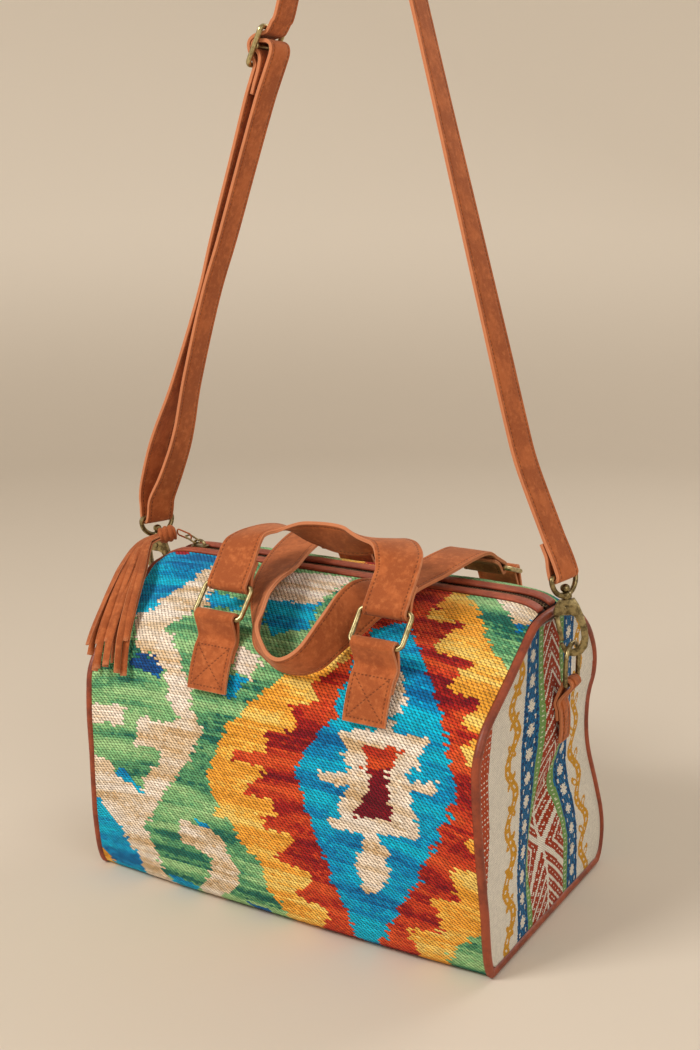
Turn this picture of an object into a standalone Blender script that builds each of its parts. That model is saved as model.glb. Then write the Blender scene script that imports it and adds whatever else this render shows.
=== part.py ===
"""Boston bag: woven wrap panel and gussets, leather piping, zip, ring handles, swivel hooks, long strap."""
import bpy
import bmesh
import math
import numpy as np
from mathutils import Vector

for old in list(bpy.data.objects):
    bpy.data.objects.remove(old, do_unlink=True)

# Body of the bag, metres
GAP = 0.0004                     # clearance that touching pieces keep
PANEL_T = 0.003                  # woven cloth with its lining
GUSSET_T = 0.0025
PIPING_R = 0.0032
ZIP_Z = 0.2475                   # level of the zip chain
ZIP_DROP = 0.0085                # how far the zip dips at the ends
ZIP_HALF = 0.168
END_POWER = 3.0                  # how late the section turns from middle to end
TOP_POWER = 20.0
LENGTH_AT = ((0.0, 0.1735), (0.05, 0.1725), (0.10, 0.169), (0.157, 0.1665), (0.20, 0.168), (0.25, 0.169))

# Half sections (y out, z), from the zip edge down to the middle of the base
MIDDLE = ((.0172, .2485), (.040, .2447), (.065, .2372), (.088, .2268), (.1035, .2135), (.1125, .197),
          (.1185, .177), (.1215, .150), (.1225, .120), (.1205, .075), (.116, .035), (.110, .009),
          (.100, .0006), (.088, 0.0), (.045, 0.0), (0.0, 0.0))
END = ((.0172, .2400), (.032, .2365), (.050, .2245), (.070, .2100), (.090, .1965), (.107, .1835),
       (.1165, .166), (.118, .140), (.1155, .105), (.1115, .060), (.108, .028), (.104, .010),
       (.098, .0006), (.086, 0.0), (.045, 0.0), (0.0, 0.0))
DENTED = ((.0172, .2400), (.034, .2360), (.052, .2270), (.070, .2150), (.084, .2010), (.095, .1830),
          (.096, .1650), (.084, .1450), (.083, .1150), (.101, .070), (.113, .035), (.111, .012),
          (.101, .0006), (.088, 0.0), (.045, 0.0), (0.0, 0.0))

# Handles
TAB_W = 0.034
TAB_T = 0.0026
TAB_FOOT_Z, TAB_SEWN_Z = 0.177, 0.2125
RING_R = 0.0019
RING_HALF_W = 0.0205
RING_H = 0.027
TAB_X = (-0.048, 0.085)
FRONT_LOW, FRONT_LEAN = (-0.1095, 0.2310), (0.65, 0.76)
REAR_LOW, REAR_LEAN = (0.0930, 0.2400), (-0.95, 0.31)
HANDLE_W = 0.034
HANDLE_T = 0.0030
FOLD_LEN = 0.0205

# Strap and its hardware
STRAP_W, STRAP_T = 0.025, 0.0028
D_X = (-0.1865, 0.1865)
D_R, D_WIRE, D_LEG, D_Z = 0.0120, 0.0017, 0.018, 0.2073
HOOK_MM = 0.001                  # unit of the hook outlines
HOOK_LEAN = (math.radians(-2.5), math.radians(-10.5))
HOOK_TURN = (math.radians(12), math.radians(26))
EYE_TURN = (math.radians(70), math.radians(78))
EYE_WIRE = 0.0019
EYE_HALF, EYE_BAR, EYE_LOW = 14.9, 60.5, 44.7
SLIDER_AT, SLIDER_TILT = Vector((-0.0715, 0.0, 0.6395)), math.radians(25.8)
SLIDER_HALF, SLIDER_WIRE, BAR_WIRE = 0.0145, 0.0020, 0.0017
ZIP_SLIDER_X = -0.144

ROLL = bpy.data.collections.new("boston_bag")
CUTTERS = bpy.data.collections.new("cutters")
for coll in (ROLL, CUTTERS):
    bpy.context.scene.collection.children.link(coll)

FINISHES = {
    "kilim": ((0.48, 0.27, 0.10), 0.95, 0.0),
    "dobby": ((0.58, 0.50, 0.40), 0.95, 0.0),
    "piping_leather": ((0.30, 0.062, 0.024), 0.55, 0.0),
    "trim_leather": ((0.36, 0.085, 0.032), 0.6, 0.0),
    "suede": ((0.44, 0.125, 0.040), 0.85, 0.0),
    "zip_cloth": ((0.10, 0.045, 0.025), 0.9, 0.0),
    "antique_brass": ((0.20, 0.16, 0.085), 0.35, 1.0),
    "pale_brass": ((0.42, 0.37, 0.23), 0.28, 1.0),
}


def finish(slot):
    """Return the material of a slot, made on first use."""
    mat = bpy.data.materials.get(slot)
    if mat is None:
        mat = bpy.data.materials.new(slot)
        mat.use_nodes = True
        color, rough, metal = FINISHES[slot]
        node = mat.node_tree.nodes["Principled BSDF"]
        node.inputs["Base Color"].default_value = (*color, 1.0)
        node.inputs["Roughness"].default_value = rough
        node.inputs["Metallic"].default_value = metal
        mat.diffuse_color = (*color, 1.0)
    return mat


def put(name, bm, slot, smooth=True):
    """Turn a bmesh into a named object with its material."""
    bmesh.ops.recalc_face_normals(bm, faces=bm.faces)
    mesh = bpy.data.meshes.new(name)
    bm.to_mesh(mesh)
    bm.free()
    mesh.materials.append(finish(slot))
    for poly in mesh.polygons:
        poly.use_smooth = smooth
    obj = bpy.data.objects.new(name, mesh)
    ROLL.objects.link(obj)
    return obj


def set_origin(obj, point):
    """Move an object's origin to a world point and leave its mesh in place."""
    point = Vector(point)
    for vert in obj.data.vertices:
        vert.co -= point
    obj.location = point


def smooth_rows(rows, per=6):
    """Catmull-Rom rows between control rows of any width."""
    rows = np.asarray(rows, float)
    full = np.vstack([2 * rows[0] - rows[1], rows, 2 * rows[-1] - rows[-2]])
    out = []
    for i in range(1, len(full) - 2):
        a, b, c, d = full[i - 1:i + 3]
        for t in np.arange(per) / per:
            out.append(0.5 * (2 * b + (c - a) * t + (2 * a - 5 * b + 4 * c - d) * t ** 2
                              + (3 * b - a - 3 * c + d) * t ** 3))
    out.append(full[-2])
    return np.array(out)


def loft(bm, rings, loop=False):
    """Skin closed rings of points into one closed body."""
    rows = [[bm.verts.new(p) for p in ring] for ring in rings]
    nxt = rows[1:] + rows[:1] if loop else rows[1:]
    for a, b in zip(rows, nxt):
        for i in range(len(a)):
            j = (i + 1) % len(a)
            bm.faces.new((a[i], a[j], b[j], b[i]))
    if not loop:
        bm.faces.new(rows[0][::-1])
        bm.faces.new(rows[-1])


def shell(bm, outer, inner):
    """Close two matching grids of points into one wall."""
    top = [[bm.verts.new(p) for p in row] for row in outer]
    low = [[bm.verts.new(p) for p in row] for row in inner]
    n, m = len(top), len(top[0])
    for i in range(n - 1):
        for j in range(m - 1):
            bm.faces.new((top[i][j], top[i][j + 1], top[i + 1][j + 1], top[i + 1][j]))
            bm.faces.new((low[i][j], low[i + 1][j], low[i + 1][j + 1], low[i][j + 1]))
        bm.faces.new((top[i][0], top[i + 1][0], low[i + 1][0], low[i][0]))
        bm.faces.new((top[i][-1], low[i][-1], low[i + 1][-1], top[i + 1][-1]))
    for j in range(m - 1):
        bm.faces.new((top[0][j], low[0][j], low[0][j + 1], top[0][j + 1]))
        bm.faces.new((top[-1][j], top[-1][j + 1], low[-1][j + 1], low[-1][j]))


def tangents(path, loop=False):
    """Unit directions along a path."""
    if loop:
        d = np.roll(path, -1, axis=0) - np.roll(path, 1, axis=0)
    else:
        d = np.gradient(path, axis=0)
    return d / np.linalg.norm(d, axis=1)[:, None]


def tube(bm, path, radius, ref, sides=10, loop=False):
    """Round wire or cord along a path; ref is a direction across it."""
    path = np.asarray(path, float)
    t = tangents(path, loop)
    ref = np.broadcast_to(np.asarray(ref, float), path.shape)
    n1 = np.cross(t, ref)
    n1 /= np.linalg.norm(n1, axis=1)[:, None]
    n2 = np.cross(t, n1)
    ang = np.arange(sides) * 2 * math.pi / sides + math.pi / sides
    rings = [[p + radius * (math.cos(a) * u + math.sin(a) * v) for a in ang] for p, u, v in zip(path, n1, n2)]
    loft(bm, rings, loop)


def ribbon(bm, path, wide, width, thick):
    """Strap of a chamfered section along a path; wide is its broad direction at each point."""
    t = tangents(path)
    wide = np.broadcast_to(np.asarray(wide, float), path.shape)
    w = wide - (wide * t).sum(axis=1)[:, None] * t
    w /= np.linalg.norm(w, axis=1)[:, None]
    n = np.cross(t, w)
    a, b, c = width / 2, thick / 2, thick * 0.3
    corners = ((a, b - c), (a - c, b), (-a + c, b), (-a, b - c), (-a, -b + c), (-a + c, -b), (a - c, -b), (a, -b + c))
    loft(bm, [[p + x * u + y * v for x, y in corners] for p, u, v in zip(path, w, n)])


def solid_of(name, slot, builder, *args, smooth=True, **kw):
    """Build one body with a builder and name it."""
    bm = bmesh.new()
    builder(bm, *args, **kw)
    return put(name, bm, slot, smooth)


def boolean(obj, tool, how):
    """Cut or join a tool with an EXACT boolean and keep the tool hidden."""
    for coll in tool.users_collection:
        coll.objects.unlink(tool)
    CUTTERS.objects.link(tool)
    tool.hide_render = True
    tool.display_type = 'WIRE'
    mod = obj.modifiers.new(how.lower(), 'BOOLEAN')
    mod.operation, mod.solver, mod.object = how, 'EXACT', tool


def half_length(z):
    return np.interp(z, *zip(*LENGTH_AT))


SECTIONS = {key: smooth_rows(rows, 2) for key, rows in (("middle", MIDDLE), ("end", END), ("dented", DENTED))}


def outer_point(row, xi, side):
    """Outer surface at section row, xi from -1 to 1, side -1 front or +1 rear."""
    n = len(SECTIONS["middle"]) - 1
    power = END_POWER + (TOP_POWER - END_POWER) * max(0.0, 1 - (row / n) / 0.10)
    share = abs(xi) ** power
    end = SECTIONS["dented" if side > 0 and xi > 0 else "end"][row]
    y, z = SECTIONS["middle"][row] * (1 - share) + end * share
    return np.array((xi * half_length(z), side * y, z))


def wrap_rows(xi):
    """Outer line of the wrap at xi, from the front zip edge under the base to the rear zip edge."""
    n = len(SECTIONS["middle"])
    front = [outer_point(i, xi, -1) for i in range(n)]
    rear = [outer_point(i, xi, 1) for i in range(n - 2, -1, -1)]
    return np.array(front + rear)


def inward(line):
    """Unit normals in the YZ plane, pointing into the bag."""
    t = tangents(line)
    n = np.stack([np.zeros(len(t)), -t[:, 2], t[:, 1]], axis=1)
    return n / np.linalg.norm(n, axis=1)[:, None]


def build_panel():
    cols = 15
    trim = (PIPING_R + GAP) / 0.168
    outer, inner = [], []
    for j in range(cols):
        xi = (1 - trim) * math.sin(math.pi / 2 * (2 * j / (cols - 1) - 1))
        line = wrap_rows(xi)
        normal = inward(line)
        outer.append(line)
        inner.append(line + normal * PANEL_T)
    solid_of("main_panel", "kilim", shell, outer, inner)


def edge_loop(sign):
    """Centre line of the piping round one gusset."""
    line = wrap_rows(sign * 1.0)
    line = line + inward(line) * (PANEL_T / 2)
    line[:, 0] = sign * half_length(line[:, 2])
    line[:, 2] = np.maximum(line[:, 2], PIPING_R)
    top = np.array([(sign * half_length(.24), y, ZIP_Z - ZIP_DROP - 0.0005 + 0.0006 * math.cos(y * 90)) for y in (0.011, 0.004, -0.004, -0.011)])
    return np.vstack([line, top])


def gusset_x(sign, y, z):
    """Outer face of a gusset: pulled out at the strap tab, creased below it."""
    pull = 0.0105 * math.exp(-(y / 0.036) ** 2) * math.exp(-((z - 0.156) / 0.034) ** 2)
    fold = (y - 0.010 + (0.115 - z) * 0.42) / 0.020
    crease = 0.0100 * math.exp(-fold ** 2) * math.exp(-((z - 0.078) / 0.040) ** 2)
    return sign * (half_length(z) + GUSSET_T / 2 + pull - (crease if sign > 0 else 0.6 * crease))


def build_gusset(sign, name):
    loop = np.roll(edge_loop(sign), 2, axis=0)
    front, rear = loop[loop[:, 1] < 0], loop[loop[:, 1] > 0]
    inset = PIPING_R + GAP + 0.0002
    zs = inset + PIPING_R + (0.2335 - inset - PIPING_R) * (1 - np.cos(np.linspace(0, math.pi, 25))) / 2
    outer, inner = [], []
    for z in zs:
        span = [side_y(part, z, inset) for part in (front, rear)]
        row = []
        for k in range(14):
            y = span[0] + (span[1] - span[0]) * (1 - math.cos(math.pi * k / 13)) / 2
            edge = min(abs(y - span[0]), abs(y - span[1]), 0.02) / 0.02
            flat = sign * (half_length(z) + GUSSET_T / 2)
            row.append((flat + (gusset_x(sign, y, z) - flat) * edge, y, z))
        outer.append([Vector(p) for p in row])
        inner.append([Vector((p[0] - sign * GUSSET_T, p[1], p[2])) for p in row])
    solid_of(name, "dobby", shell, outer, inner)


def side_y(part, z, inset):
    """Edge of the gusset cloth at height z, kept clear of the piping all round."""
    sgn = -1 if part[0, 1] < 0 else 1
    fine = smooth_rows(part[:, 1:], 6)
    best = None
    for frac in np.linspace(0.0, 0.13, 521):
        y = sgn * frac
        if np.min(np.hypot(fine[:, 0] - y, fine[:, 1] - z)) < inset:
            break
        best = y
    return best if best is not None else 0.0


def zip_z(x):
    return ZIP_Z - ZIP_DROP * abs(x / ZIP_HALF) ** TOP_POWER


def strip(bm, y0, y1, low, high, half):
    """Flat strip that follows the zip line."""
    xs = half * np.sin(np.linspace(-math.pi / 2, math.pi / 2, 25))
    rings = [[(x, y0, zip_z(x) + low), (x, y1, zip_z(x) + low), (x, y1, zip_z(x) + high), (x, y0, zip_z(x) + high)]
             for x in xs]
    loft(bm, rings)


def chain_half(bm, side, half):
    """Zip tape with its half of the chain as a raised edge."""
    section = ((0.0003, -0.0016), (0.0030, -0.0016), (0.0034, -0.0012), (0.0158, -0.0012), (0.0158, -0.0002),
               (0.0034, -0.0002), (0.0030, 0.0005), (0.0003, 0.0005))
    xs = half * np.sin(np.linspace(-math.pi / 2, math.pi / 2, 25))
    loft(bm, [[(x, side * y, zip_z(x) + z) for y, z in section] for x in xs])


def build_zip():
    half = 0.169 - PIPING_R - GAP
    for side, word in ((-1, "front"), (1, "rear")):
        solid_of(word + "_zip_trim", "trim_leather", strip, side * 0.0058, side * 0.0163, 0.0002, 0.0030, half, smooth=False)
        solid_of(word + "_zip_tape", "zip_cloth", chain_half, side, half, smooth=False)


def add_box(bm, centre, size):
    made = bmesh.ops.create_cube(bm, size=1.0)["verts"]
    bmesh.ops.scale(bm, vec=Vector(size), verts=made)
    bmesh.ops.translate(bm, vec=Vector(centre), verts=made)


def build_zip_slider():
    """Low saddle over the chain with an arched bridge for the pull."""
    x, z = ZIP_SLIDER_X, ZIP_Z
    plan = ((-0.0070, 0.0028), (-0.0040, 0.0050), (0.0055, 0.0050), (0.0070, 0.0036))
    bm = bmesh.new()
    ring = [(dx, dy) for dx, dy in plan] + [(dx, -dy) for dx, dy in reversed(plan)]
    loft(bm, [[(x + dx, dy, z + h) for dx, dy in ring] for h in (0.0012, 0.0027)])
    body = put("zip_slider", bm, "antique_brass", smooth=False)
    arch = smooth_rows([(x - 0.0050, 0, z + 0.0020), (x - 0.0048, 0, z + 0.0052), (x - 0.0020, 0, z + 0.0071),
                        (x + 0.0020, 0, z + 0.0068), (x + 0.0046, 0, z + 0.0046), (x + 0.0052, 0, z + 0.0020)], 4)
    bridge = solid_of("bridge", "antique_brass", ribbon, arch, (0, 1, 0), 0.0036, 0.0012)
    boolean(body, bridge, 'UNION')


PULL_PIVOT = Vector((ZIP_SLIDER_X - 0.0016, 0, ZIP_Z + 0.0047))
PULL_END = Vector((-0.1550, -0.0020, ZIP_Z + 0.0100))


def build_pull():
    """Small wire link through the slider's bridge."""
    along = (PULL_END - PULL_PIVOT).normalized()
    span = (PULL_END - PULL_PIVOT).length
    pts = []
    for s, w in rounded(span / 2, 0.0036, 0.0016, 4):
        pts.append(PULL_PIVOT + along * (s + span / 2) + Vector((0, w, 0)) * 1.0)
    up = along.cross(Vector((0, 1, 0)))
    obj = solid_of("zip_pull", "antique_brass", tube, pts, 0.0008, up, sides=8, loop=True)
    set_origin(obj, PULL_PIVOT)


def rounded(a, b, r, steps):
    """Points of a rounded rectangle of half sizes a and b with corner radius r."""
    out = []
    for cx, cy, start in ((a - r, b - r, 0), (-a + r, b - r, 90), (-a + r, -b + r, 180), (a - r, -b + r, 270)):
        for k in range(steps + 1):
            ang = math.radians(start + 90 * k / steps)
            out.append((cx + r * math.cos(ang), cy + r * math.sin(ang)))
    return out


CAP_A = Vector((-0.1625, -0.0080, 0.2612))
CAP_B = Vector((-0.1725, -0.0185, 0.2578))


def build_tassel():
    """Lace through the pull, wound cap and cut suede fringe falling over the corner."""
    near, far = Vector((-0.1517, -0.0014, 0.2562)), CAP_A + Vector((0.0009, 0.0008, 0.0001))
    mid, run = (near + far) / 2, (far - near).normalized()
    pts = [mid + run * s + Vector((0, 0, 1)) * w for s, w in rounded((far - near).length / 2 + 0.0, 0.0024, 0.0020, 4)]
    side = run.cross(Vector((0, 0, 1))).normalized()
    bm = bmesh.new()
    tube(bm, pts, 0.0007, side, sides=8, loop=True)
    put("tassel_lace", bm, "suede")
    axis = (CAP_B - CAP_A).normalized()
    u = axis.cross(Vector((0, 0, 1))).normalized()
    v = axis.cross(u)
    rings = []
    for k in range(17):
        t = k / 16
        wind = 0.0006 * abs(math.sin(t * math.pi * 4))
        radius = 0.0056 + wind + 0.0009 * math.sin(t * math.pi)
        if k in (0, 16):
            radius *= 0.72
        rings.append([CAP_A.lerp(CAP_B, t) + (u * math.cos(a) + v * math.sin(a)) * radius
                      for a in np.arange(14) * math.pi / 7])
    solid_of("tassel_cap", "suede", loft, rings)
    build_fringe(axis)


def build_fringe(axis):
    """Strips cut from one rolled piece: a root block whose lower face runs out into two layers of strips."""
    spine = smooth_rows([tuple(CAP_B + axis * 0.0054), (-0.1780, -0.0268, 0.2543), (-0.1765, -0.0370, 0.2500),
                         (-0.1710, -0.0520, 0.2420), (-0.1640, -0.0700, 0.2320), (-0.1570, -0.0890, 0.2190),
                         (-0.1490, -0.1110, 0.1990), (-0.1420, -0.1280, 0.1720)], 2)
    share = np.linspace(0, 1, len(spine))
    turn = np.minimum(1, 2 * share)[:, None]
    fan = np.array(axis.cross(Vector((0, 0, 1))).normalized()) * (1 - turn) + np.array((-1.0, 0, 0)) * turn
    t = tangents(spine)
    fan -= (fan * t).sum(axis=1)[:, None] * t
    fan /= np.linalg.norm(fan, axis=1)[:, None]
    lift = np.cross(t, fan)
    bm = bmesh.new()
    xs = [-0.0054] + [(k - 2.5) * 0.0017 + d for k in range(6) for d in (-0.00045, 0.00045)] + [0.0054]
    ys = [-0.0026, -0.00185, -0.00055, 0.00055, 0.00185, 0.0026]
    face = [[bm.verts.new(spine[0] + fan[0] * x + lift[0] * y) for y in ys] for x in xs]
    rim = [(i, 0) for i in range(13)] + [(13, j) for j in range(5)] + [(i, 5) for i in range(13, 0, -1)]
    rim += [(0, j) for j in range(5, 0, -1)]
    back = [bm.verts.new(Vector(face[i][j].co) - Vector(t[0]) * 0.0022) for i, j in rim]
    hub = bm.verts.new(Vector(spine[0]) - Vector(t[0]) * 0.0022)
    for m, (i, j) in enumerate(rim):
        k = (m + 1) % len(rim)
        bm.faces.new((face[i][j], back[m], back[k], face[rim[k][0]][rim[k][1]]))
        bm.faces.new((back[m], hub, back[k]))
    for i in range(13):
        for j in range(5):
            corner = (face[i][j], face[i + 1][j], face[i + 1][j + 1], face[i][j + 1])
            if i % 2 and j % 2:
                k, layer = i // 2, j // 2
                across = (k - 2.5) * (0.0017 + 0.0052 * share ** 1.2) + (0.0020 if layer else -0.0006) * share
                rise = (layer - 0.5) * (0.0024 + 0.0035 * share) + 0.0007 * share * math.sin(k * 2.3)
                path = spine + fan * across[:, None] + lift * rise[:, None]
                path[-4:, 2] -= 0.005 * math.sin(3.1 * k + 2 * layer) * np.linspace(0, 1, 4)
                run_out(bm, corner, path, fan, lift, 0.0009 + 0.0044 * share, 0.0013)
            else:
                bm.faces.new(corner)
    put("tassel_fringe", bm, "suede")


def run_out(bm, ring, path, wide, deep, widths, thick):
    """Carry a four-sided face on along a path as a strip of growing width."""
    for p, u, v, w in list(zip(path, wide, deep, widths))[1:]:
        new = [bm.verts.new(p + u * w / 2 * a + v * thick / 2 * b) for a, b in ((-1, -1), (1, -1), (1, 1), (-1, 1))]
        for i in range(4):
            j = (i + 1) % 4
            bm.faces.new((ring[i], ring[j], new[j], new[i]))
        ring = new
    bm.faces.new(ring)


def surface_at(x, side, z):
    """Outer surface of the wrap at height z on the front or rear face."""
    line = wrap_rows(x / half_length(z))
    half = line[:len(SECTIONS["middle"])] if side < 0 else line[len(SECTIONS["middle"]):][::-1]
    y = np.interp(-z, -half[:, 2], half[:, 1])
    return np.array((x, y, z))


def ring_bars(side):
    """Lower and upper bar centres of a handle ring, and the lean between them."""
    low, lean = (FRONT_LOW, FRONT_LEAN) if side < 0 else (REAR_LOW, REAR_LEAN)
    low = np.array((0, *low))
    lean = np.array((0, *lean)) / np.hypot(*lean)
    return low, low + lean * RING_H, lean


def build_ring(name, x, side):
    low, high, lean = ring_bars(side)
    centre = (low + high) / 2 + np.array((x, 0, 0))
    pts = [centre + np.array((a, 0, 0)) + lean * b for a, b in rounded(RING_HALF_W, RING_H / 2, 0.0042, 3)]
    normal = np.cross((1, 0, 0), lean)
    obj = solid_of(name, "pale_brass", tube, pts, RING_R, normal, sides=8, loop=True)
    set_origin(obj, low + np.array((x, 0, 0)))


def loop_path(face, bar, reach, thick, out, clear):
    """Sewn foot, loop round a bar and tail between foot and face; face runs up the surface towards the bar."""
    face = np.array(face)
    t = tangents(face)
    normal = np.cross(t, np.cross(out, t))
    normal /= np.linalg.norm(normal, axis=1)[:, None]
    foot = face + normal * (1.5 * thick + 0.0007 + clear)
    up = bar - foot[-1]
    up /= np.linalg.norm(up)
    off = np.cross(up, np.cross(out, up))
    off /= np.linalg.norm(off)
    curl = [bar + reach * (off * math.cos(a) + up * math.sin(a)) for a in np.radians((0, 36, 72, 108, 144, 176))]
    tail = (foot - normal * (thick + 0.0007))[:-4:-1]
    return np.vstack([smooth_rows(list(foot) + curl[:1], 2)[:-1], curl, smooth_rows([curl[-1], *tail], 2)[1:]])


def build_tab(name, x, side):
    """Leather tab of a handle ring."""
    low, _, _ = ring_bars(side)
    face = []
    for z in np.linspace(TAB_FOOT_Z, TAB_SEWN_Z, 6):
        edges = [surface_at(x + d, side, z) for d in (-TAB_W / 2, 0, TAB_W / 2)]
        face.append(np.array((x, side * max(abs(e[1]) for e in edges), z)))
    bar = low + np.array((x, 0, 0))
    path = loop_path(face, bar, RING_R + 0.0006 + TAB_T / 2, TAB_T, np.array((0, side * 1.0, 0.5)),
                     0.0010 if side < 0 else 0.0004)
    solid_of(name, "suede", ribbon, path, (1, 0, 0), TAB_W, TAB_T)


def folded_end(bar, away, inner):
    """Strap end folded round a bar: from its tail, round the bar, to the outer layer."""
    reach = RING_R + 0.0005 + HANDLE_T / 2
    tuck = HANDLE_T + 0.0006
    outer0 = -reach
    pts = []
    for s in (FOLD_LEN, 0.017, 0.012):
        pts.append(bar + away * s + inner * (outer0 + tuck))
    pts.append(bar + away * 0.0075 + inner * (outer0 + tuck + 0.0012))
    for a in (20, -10, -40, -70, -100, -130, -160, -185):
        r = math.radians(a)
        pts.append(bar + reach * (inner * math.cos(r) + away * math.sin(r)))
    for s in (0.008, 0.0165):
        pts.append(bar + away * s + inner * outer0)
    return pts


def handle(name, side, left, right, middle):
    """Ring handle: folded ends and a free strap that rolls between them."""
    _, high, _ = ring_bars(side)
    ends = []
    for x, away in ((TAB_X[0], left), (TAB_X[1], right)):
        away = np.array(away) / np.linalg.norm(away)
        inner = np.cross((1, 0, 0), away) * (1 if side > 0 else -1)
        inner = inner if inner[1] * side < 0 else -inner
        ends.append(folded_end(high + np.array((x, 0, 0)), away, inner))
    rows = [(*p, 1, 0, 0) for p in ends[0]] + [tuple(m) for m in middle] + [(*p, -1, 0, 0) for p in ends[1][::-1]]
    n = len(ends[0])
    rows = np.array(rows)
    free = smooth_rows(rows[n - 2:-(n - 2)], 4)[4:-4]
    rows = np.vstack([rows[:n - 1], free, rows[-(n - 1):]])
    obj = solid_of(name, "suede", ribbon, rows[:, :3], rows[:, 3:], HANDLE_W, HANDLE_T)
    set_origin(obj, high + np.array((sum(TAB_X) / 2, 0, 0)))


FRONT_MIDDLE = (
    (-.0478, -.0746, .2798, 1.0, -.08, .05), (-.0440, -.0630, .2860, .80, -.60, .05),
    (-.0330, -.0500, .2880, .30, -.95, .10), (-.0130, -.0420, .2855, 0, -.80, .60),
    (.0100, -.0390, .2830, 0, -.62, .78), (.0300, -.0390, .2830, -.05, -.70, .70),
    (.0520, -.0450, .2880, -.30, -.93, .20), (.0690, -.0545, .2895, -.66, -.72, .05),
    (.0800, -.0665, .2858, -.93, -.32, .05), (.0846, -.0755, .2785, -1.0, -.03, 0))
REAR_MIDDLE = (
    (-.0480, .0380, .2662, 1, 0, 0), (-.0470, .0150, .2665, 1, 0, 0), (-.0440, -.0130, .2615, 1, -.05, .05),
    (-.0380, -.0400, .2550, .95, -.2, .10), (-.0270, -.0730, .2480, .80, -.50, .25),
    (-.0140, -.1020, .2370, .62, -.70, .36), (-.0040, -.1200, .2255, .58, -.72, .38),
    (.0130, -.1285, .2145, .50, -.76, .42), (.0290, -.1300, .2120, .24, -.78, .58),
    (.0430, -.1255, .2195, -.02, -.72, .70), (.0520, -.1075, .2355, -.25, -.50, .83),
    (.0590, -.0785, .2510, -.75, -.25, .60), (.0680, -.0460, .2560, -1, 0, .10), (.0760, -.0160, .2605, -1, 0, 0),
    (.0830, .0130, .2660, -1, 0, 0), (.0850, .0380, .2662, -1, 0, 0))


def build_handles():
    words = (("left", TAB_X[0]), ("right", TAB_X[1]))
    for side, face in ((-1, "front"), (1, "rear")):
        for word, x in words:
            build_tab(f"{face}_{word}_tab", x, side)
            build_ring(f"{face}_{word}_ring", x, side)
    handle("front_handle", -1, (0, .62, .785), (0, .62, .785), FRONT_MIDDLE)
    handle("rear_handle", 1, (0, -.90, .44), (0, -.90, .44), REAR_MIDDLE)


def d_loop(x):
    """Centre line of a D ring: straight bar below, round bow above."""
    pts = [np.array((x, D_R * math.cos(a), D_Z + D_R * math.sin(a))) for a in np.linspace(0, math.pi, 17)]
    low = D_Z - D_LEG
    corner = 0.003
    for y, s in ((-D_R, 1), (D_R, -1)):
        arc = []
        for k in range(4):
            a = math.radians(90 * k / 3)
            arc.append(np.array((x, y + s * corner * (1 - math.cos(a)), low + corner * (1 - math.sin(a)))))
        pts += arc if s > 0 else arc[::-1]
    return pts


def build_d(sign, word):
    x = D_X[0] if sign < 0 else D_X[1]
    obj = solid_of(word + "_d_ring", "antique_brass", tube, d_loop(x), D_WIRE, (1, 0, 0), sides=8, loop=True)
    bar = Vector((x, 0, D_Z - D_LEG))
    set_origin(obj, bar)
    thick, width = 0.0022, 0.0170
    face = []
    for z in (0.145, 0.153, 0.161, 0.169, 0.175):
        far = max(abs(gusset_x(sign, y, z)) for y in (-width / 2, 0, width / 2))
        face.append(np.array((sign * far, 0, z)))
    path = loop_path(face, np.array(bar), D_WIRE + 0.0006 + thick / 2, thick, np.array((sign * 1.0, 0, 0)), 0.0006)
    solid_of(word + "_d_tab", "suede", ribbon, path, (0, 1, 0), width, thick)


HOOK_OUT = ((-5.6, 42), (5.6, 42), (8.0, 37), (10.5, 28), (11.8, 20), (11.6, 12), (9.8, 5.6), (5.6, 1.2), (0, 0),
            (-4.4, .9), (-7.6, 3.6), (-9.2, 10.0), (-8.2, 11.0), (-6.6, 10.4), (-4.9, 6.0), (-1.6, 4.2), (2.4, 4.4),
            (5.9, 7.2), (7.5, 12), (7.7, 19), (6.6, 25), (4.2, 29.6), (1.5, 31.2), (-10.7, 31.2), (-10.4, 34.5),
            (-8.6, 38.5))
GATE_LEVER = ((-10.5, 30.5), (-6.9, 30.5), (-6.2, 20), (-5.8, 12.4), (-8.6, 12.4), (-9.9, 20))


def hook_frame(sign, turn=0.0):
    """Origin and own directions of a hook that hangs in the bow of its D ring, turned about its swivel."""
    side = 0 if sign < 0 else 1
    lean = HOOK_LEAN[side]
    up = np.array((math.sin(lean), 0, math.cos(lean)))
    across = np.array((math.cos(lean), 0, -math.sin(lean)))
    own_x = across * math.cos(turn) + np.array((0, 1, 0)) * math.sin(turn)
    bow = np.array((D_X[side], 0, D_Z + D_R))
    return bow - up * 0.0097, own_x, np.cross(up, own_x), up


def hook_point(frame, x, y, z):
    origin, own_x, own_y, up = frame
    return Vector(origin + (own_x * x + own_y * y + up * z) * HOOK_MM)


def moved(frame, x, z):
    """The same directions about another point of the hook."""
    return (np.array(hook_point(frame, x, 0, z)), *frame[1:])


def plate(bm, frame, outline, y_half, bevel):
    """Flat cast plate of an outline with eased faces."""
    ring = [[bm.verts.new(hook_point(frame, x, y, z)) for x, z in outline] for y in (-y_half, y_half)]
    bm.faces.new(ring[0])
    bm.faces.new(ring[1][::-1])
    for i in range(len(outline)):
        j = (i + 1) % len(outline)
        bm.faces.new((ring[0][i], ring[1][i], ring[1][j], ring[0][j]))
    if bevel:
        rims = [e for e in bm.edges if (e.verts[0] in ring[0]) == (e.verts[1] in ring[0])]
        bmesh.ops.bevel(bm, geom=rims, offset=bevel * HOOK_MM, segments=2, profile=0.5, affect='EDGES')


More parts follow.
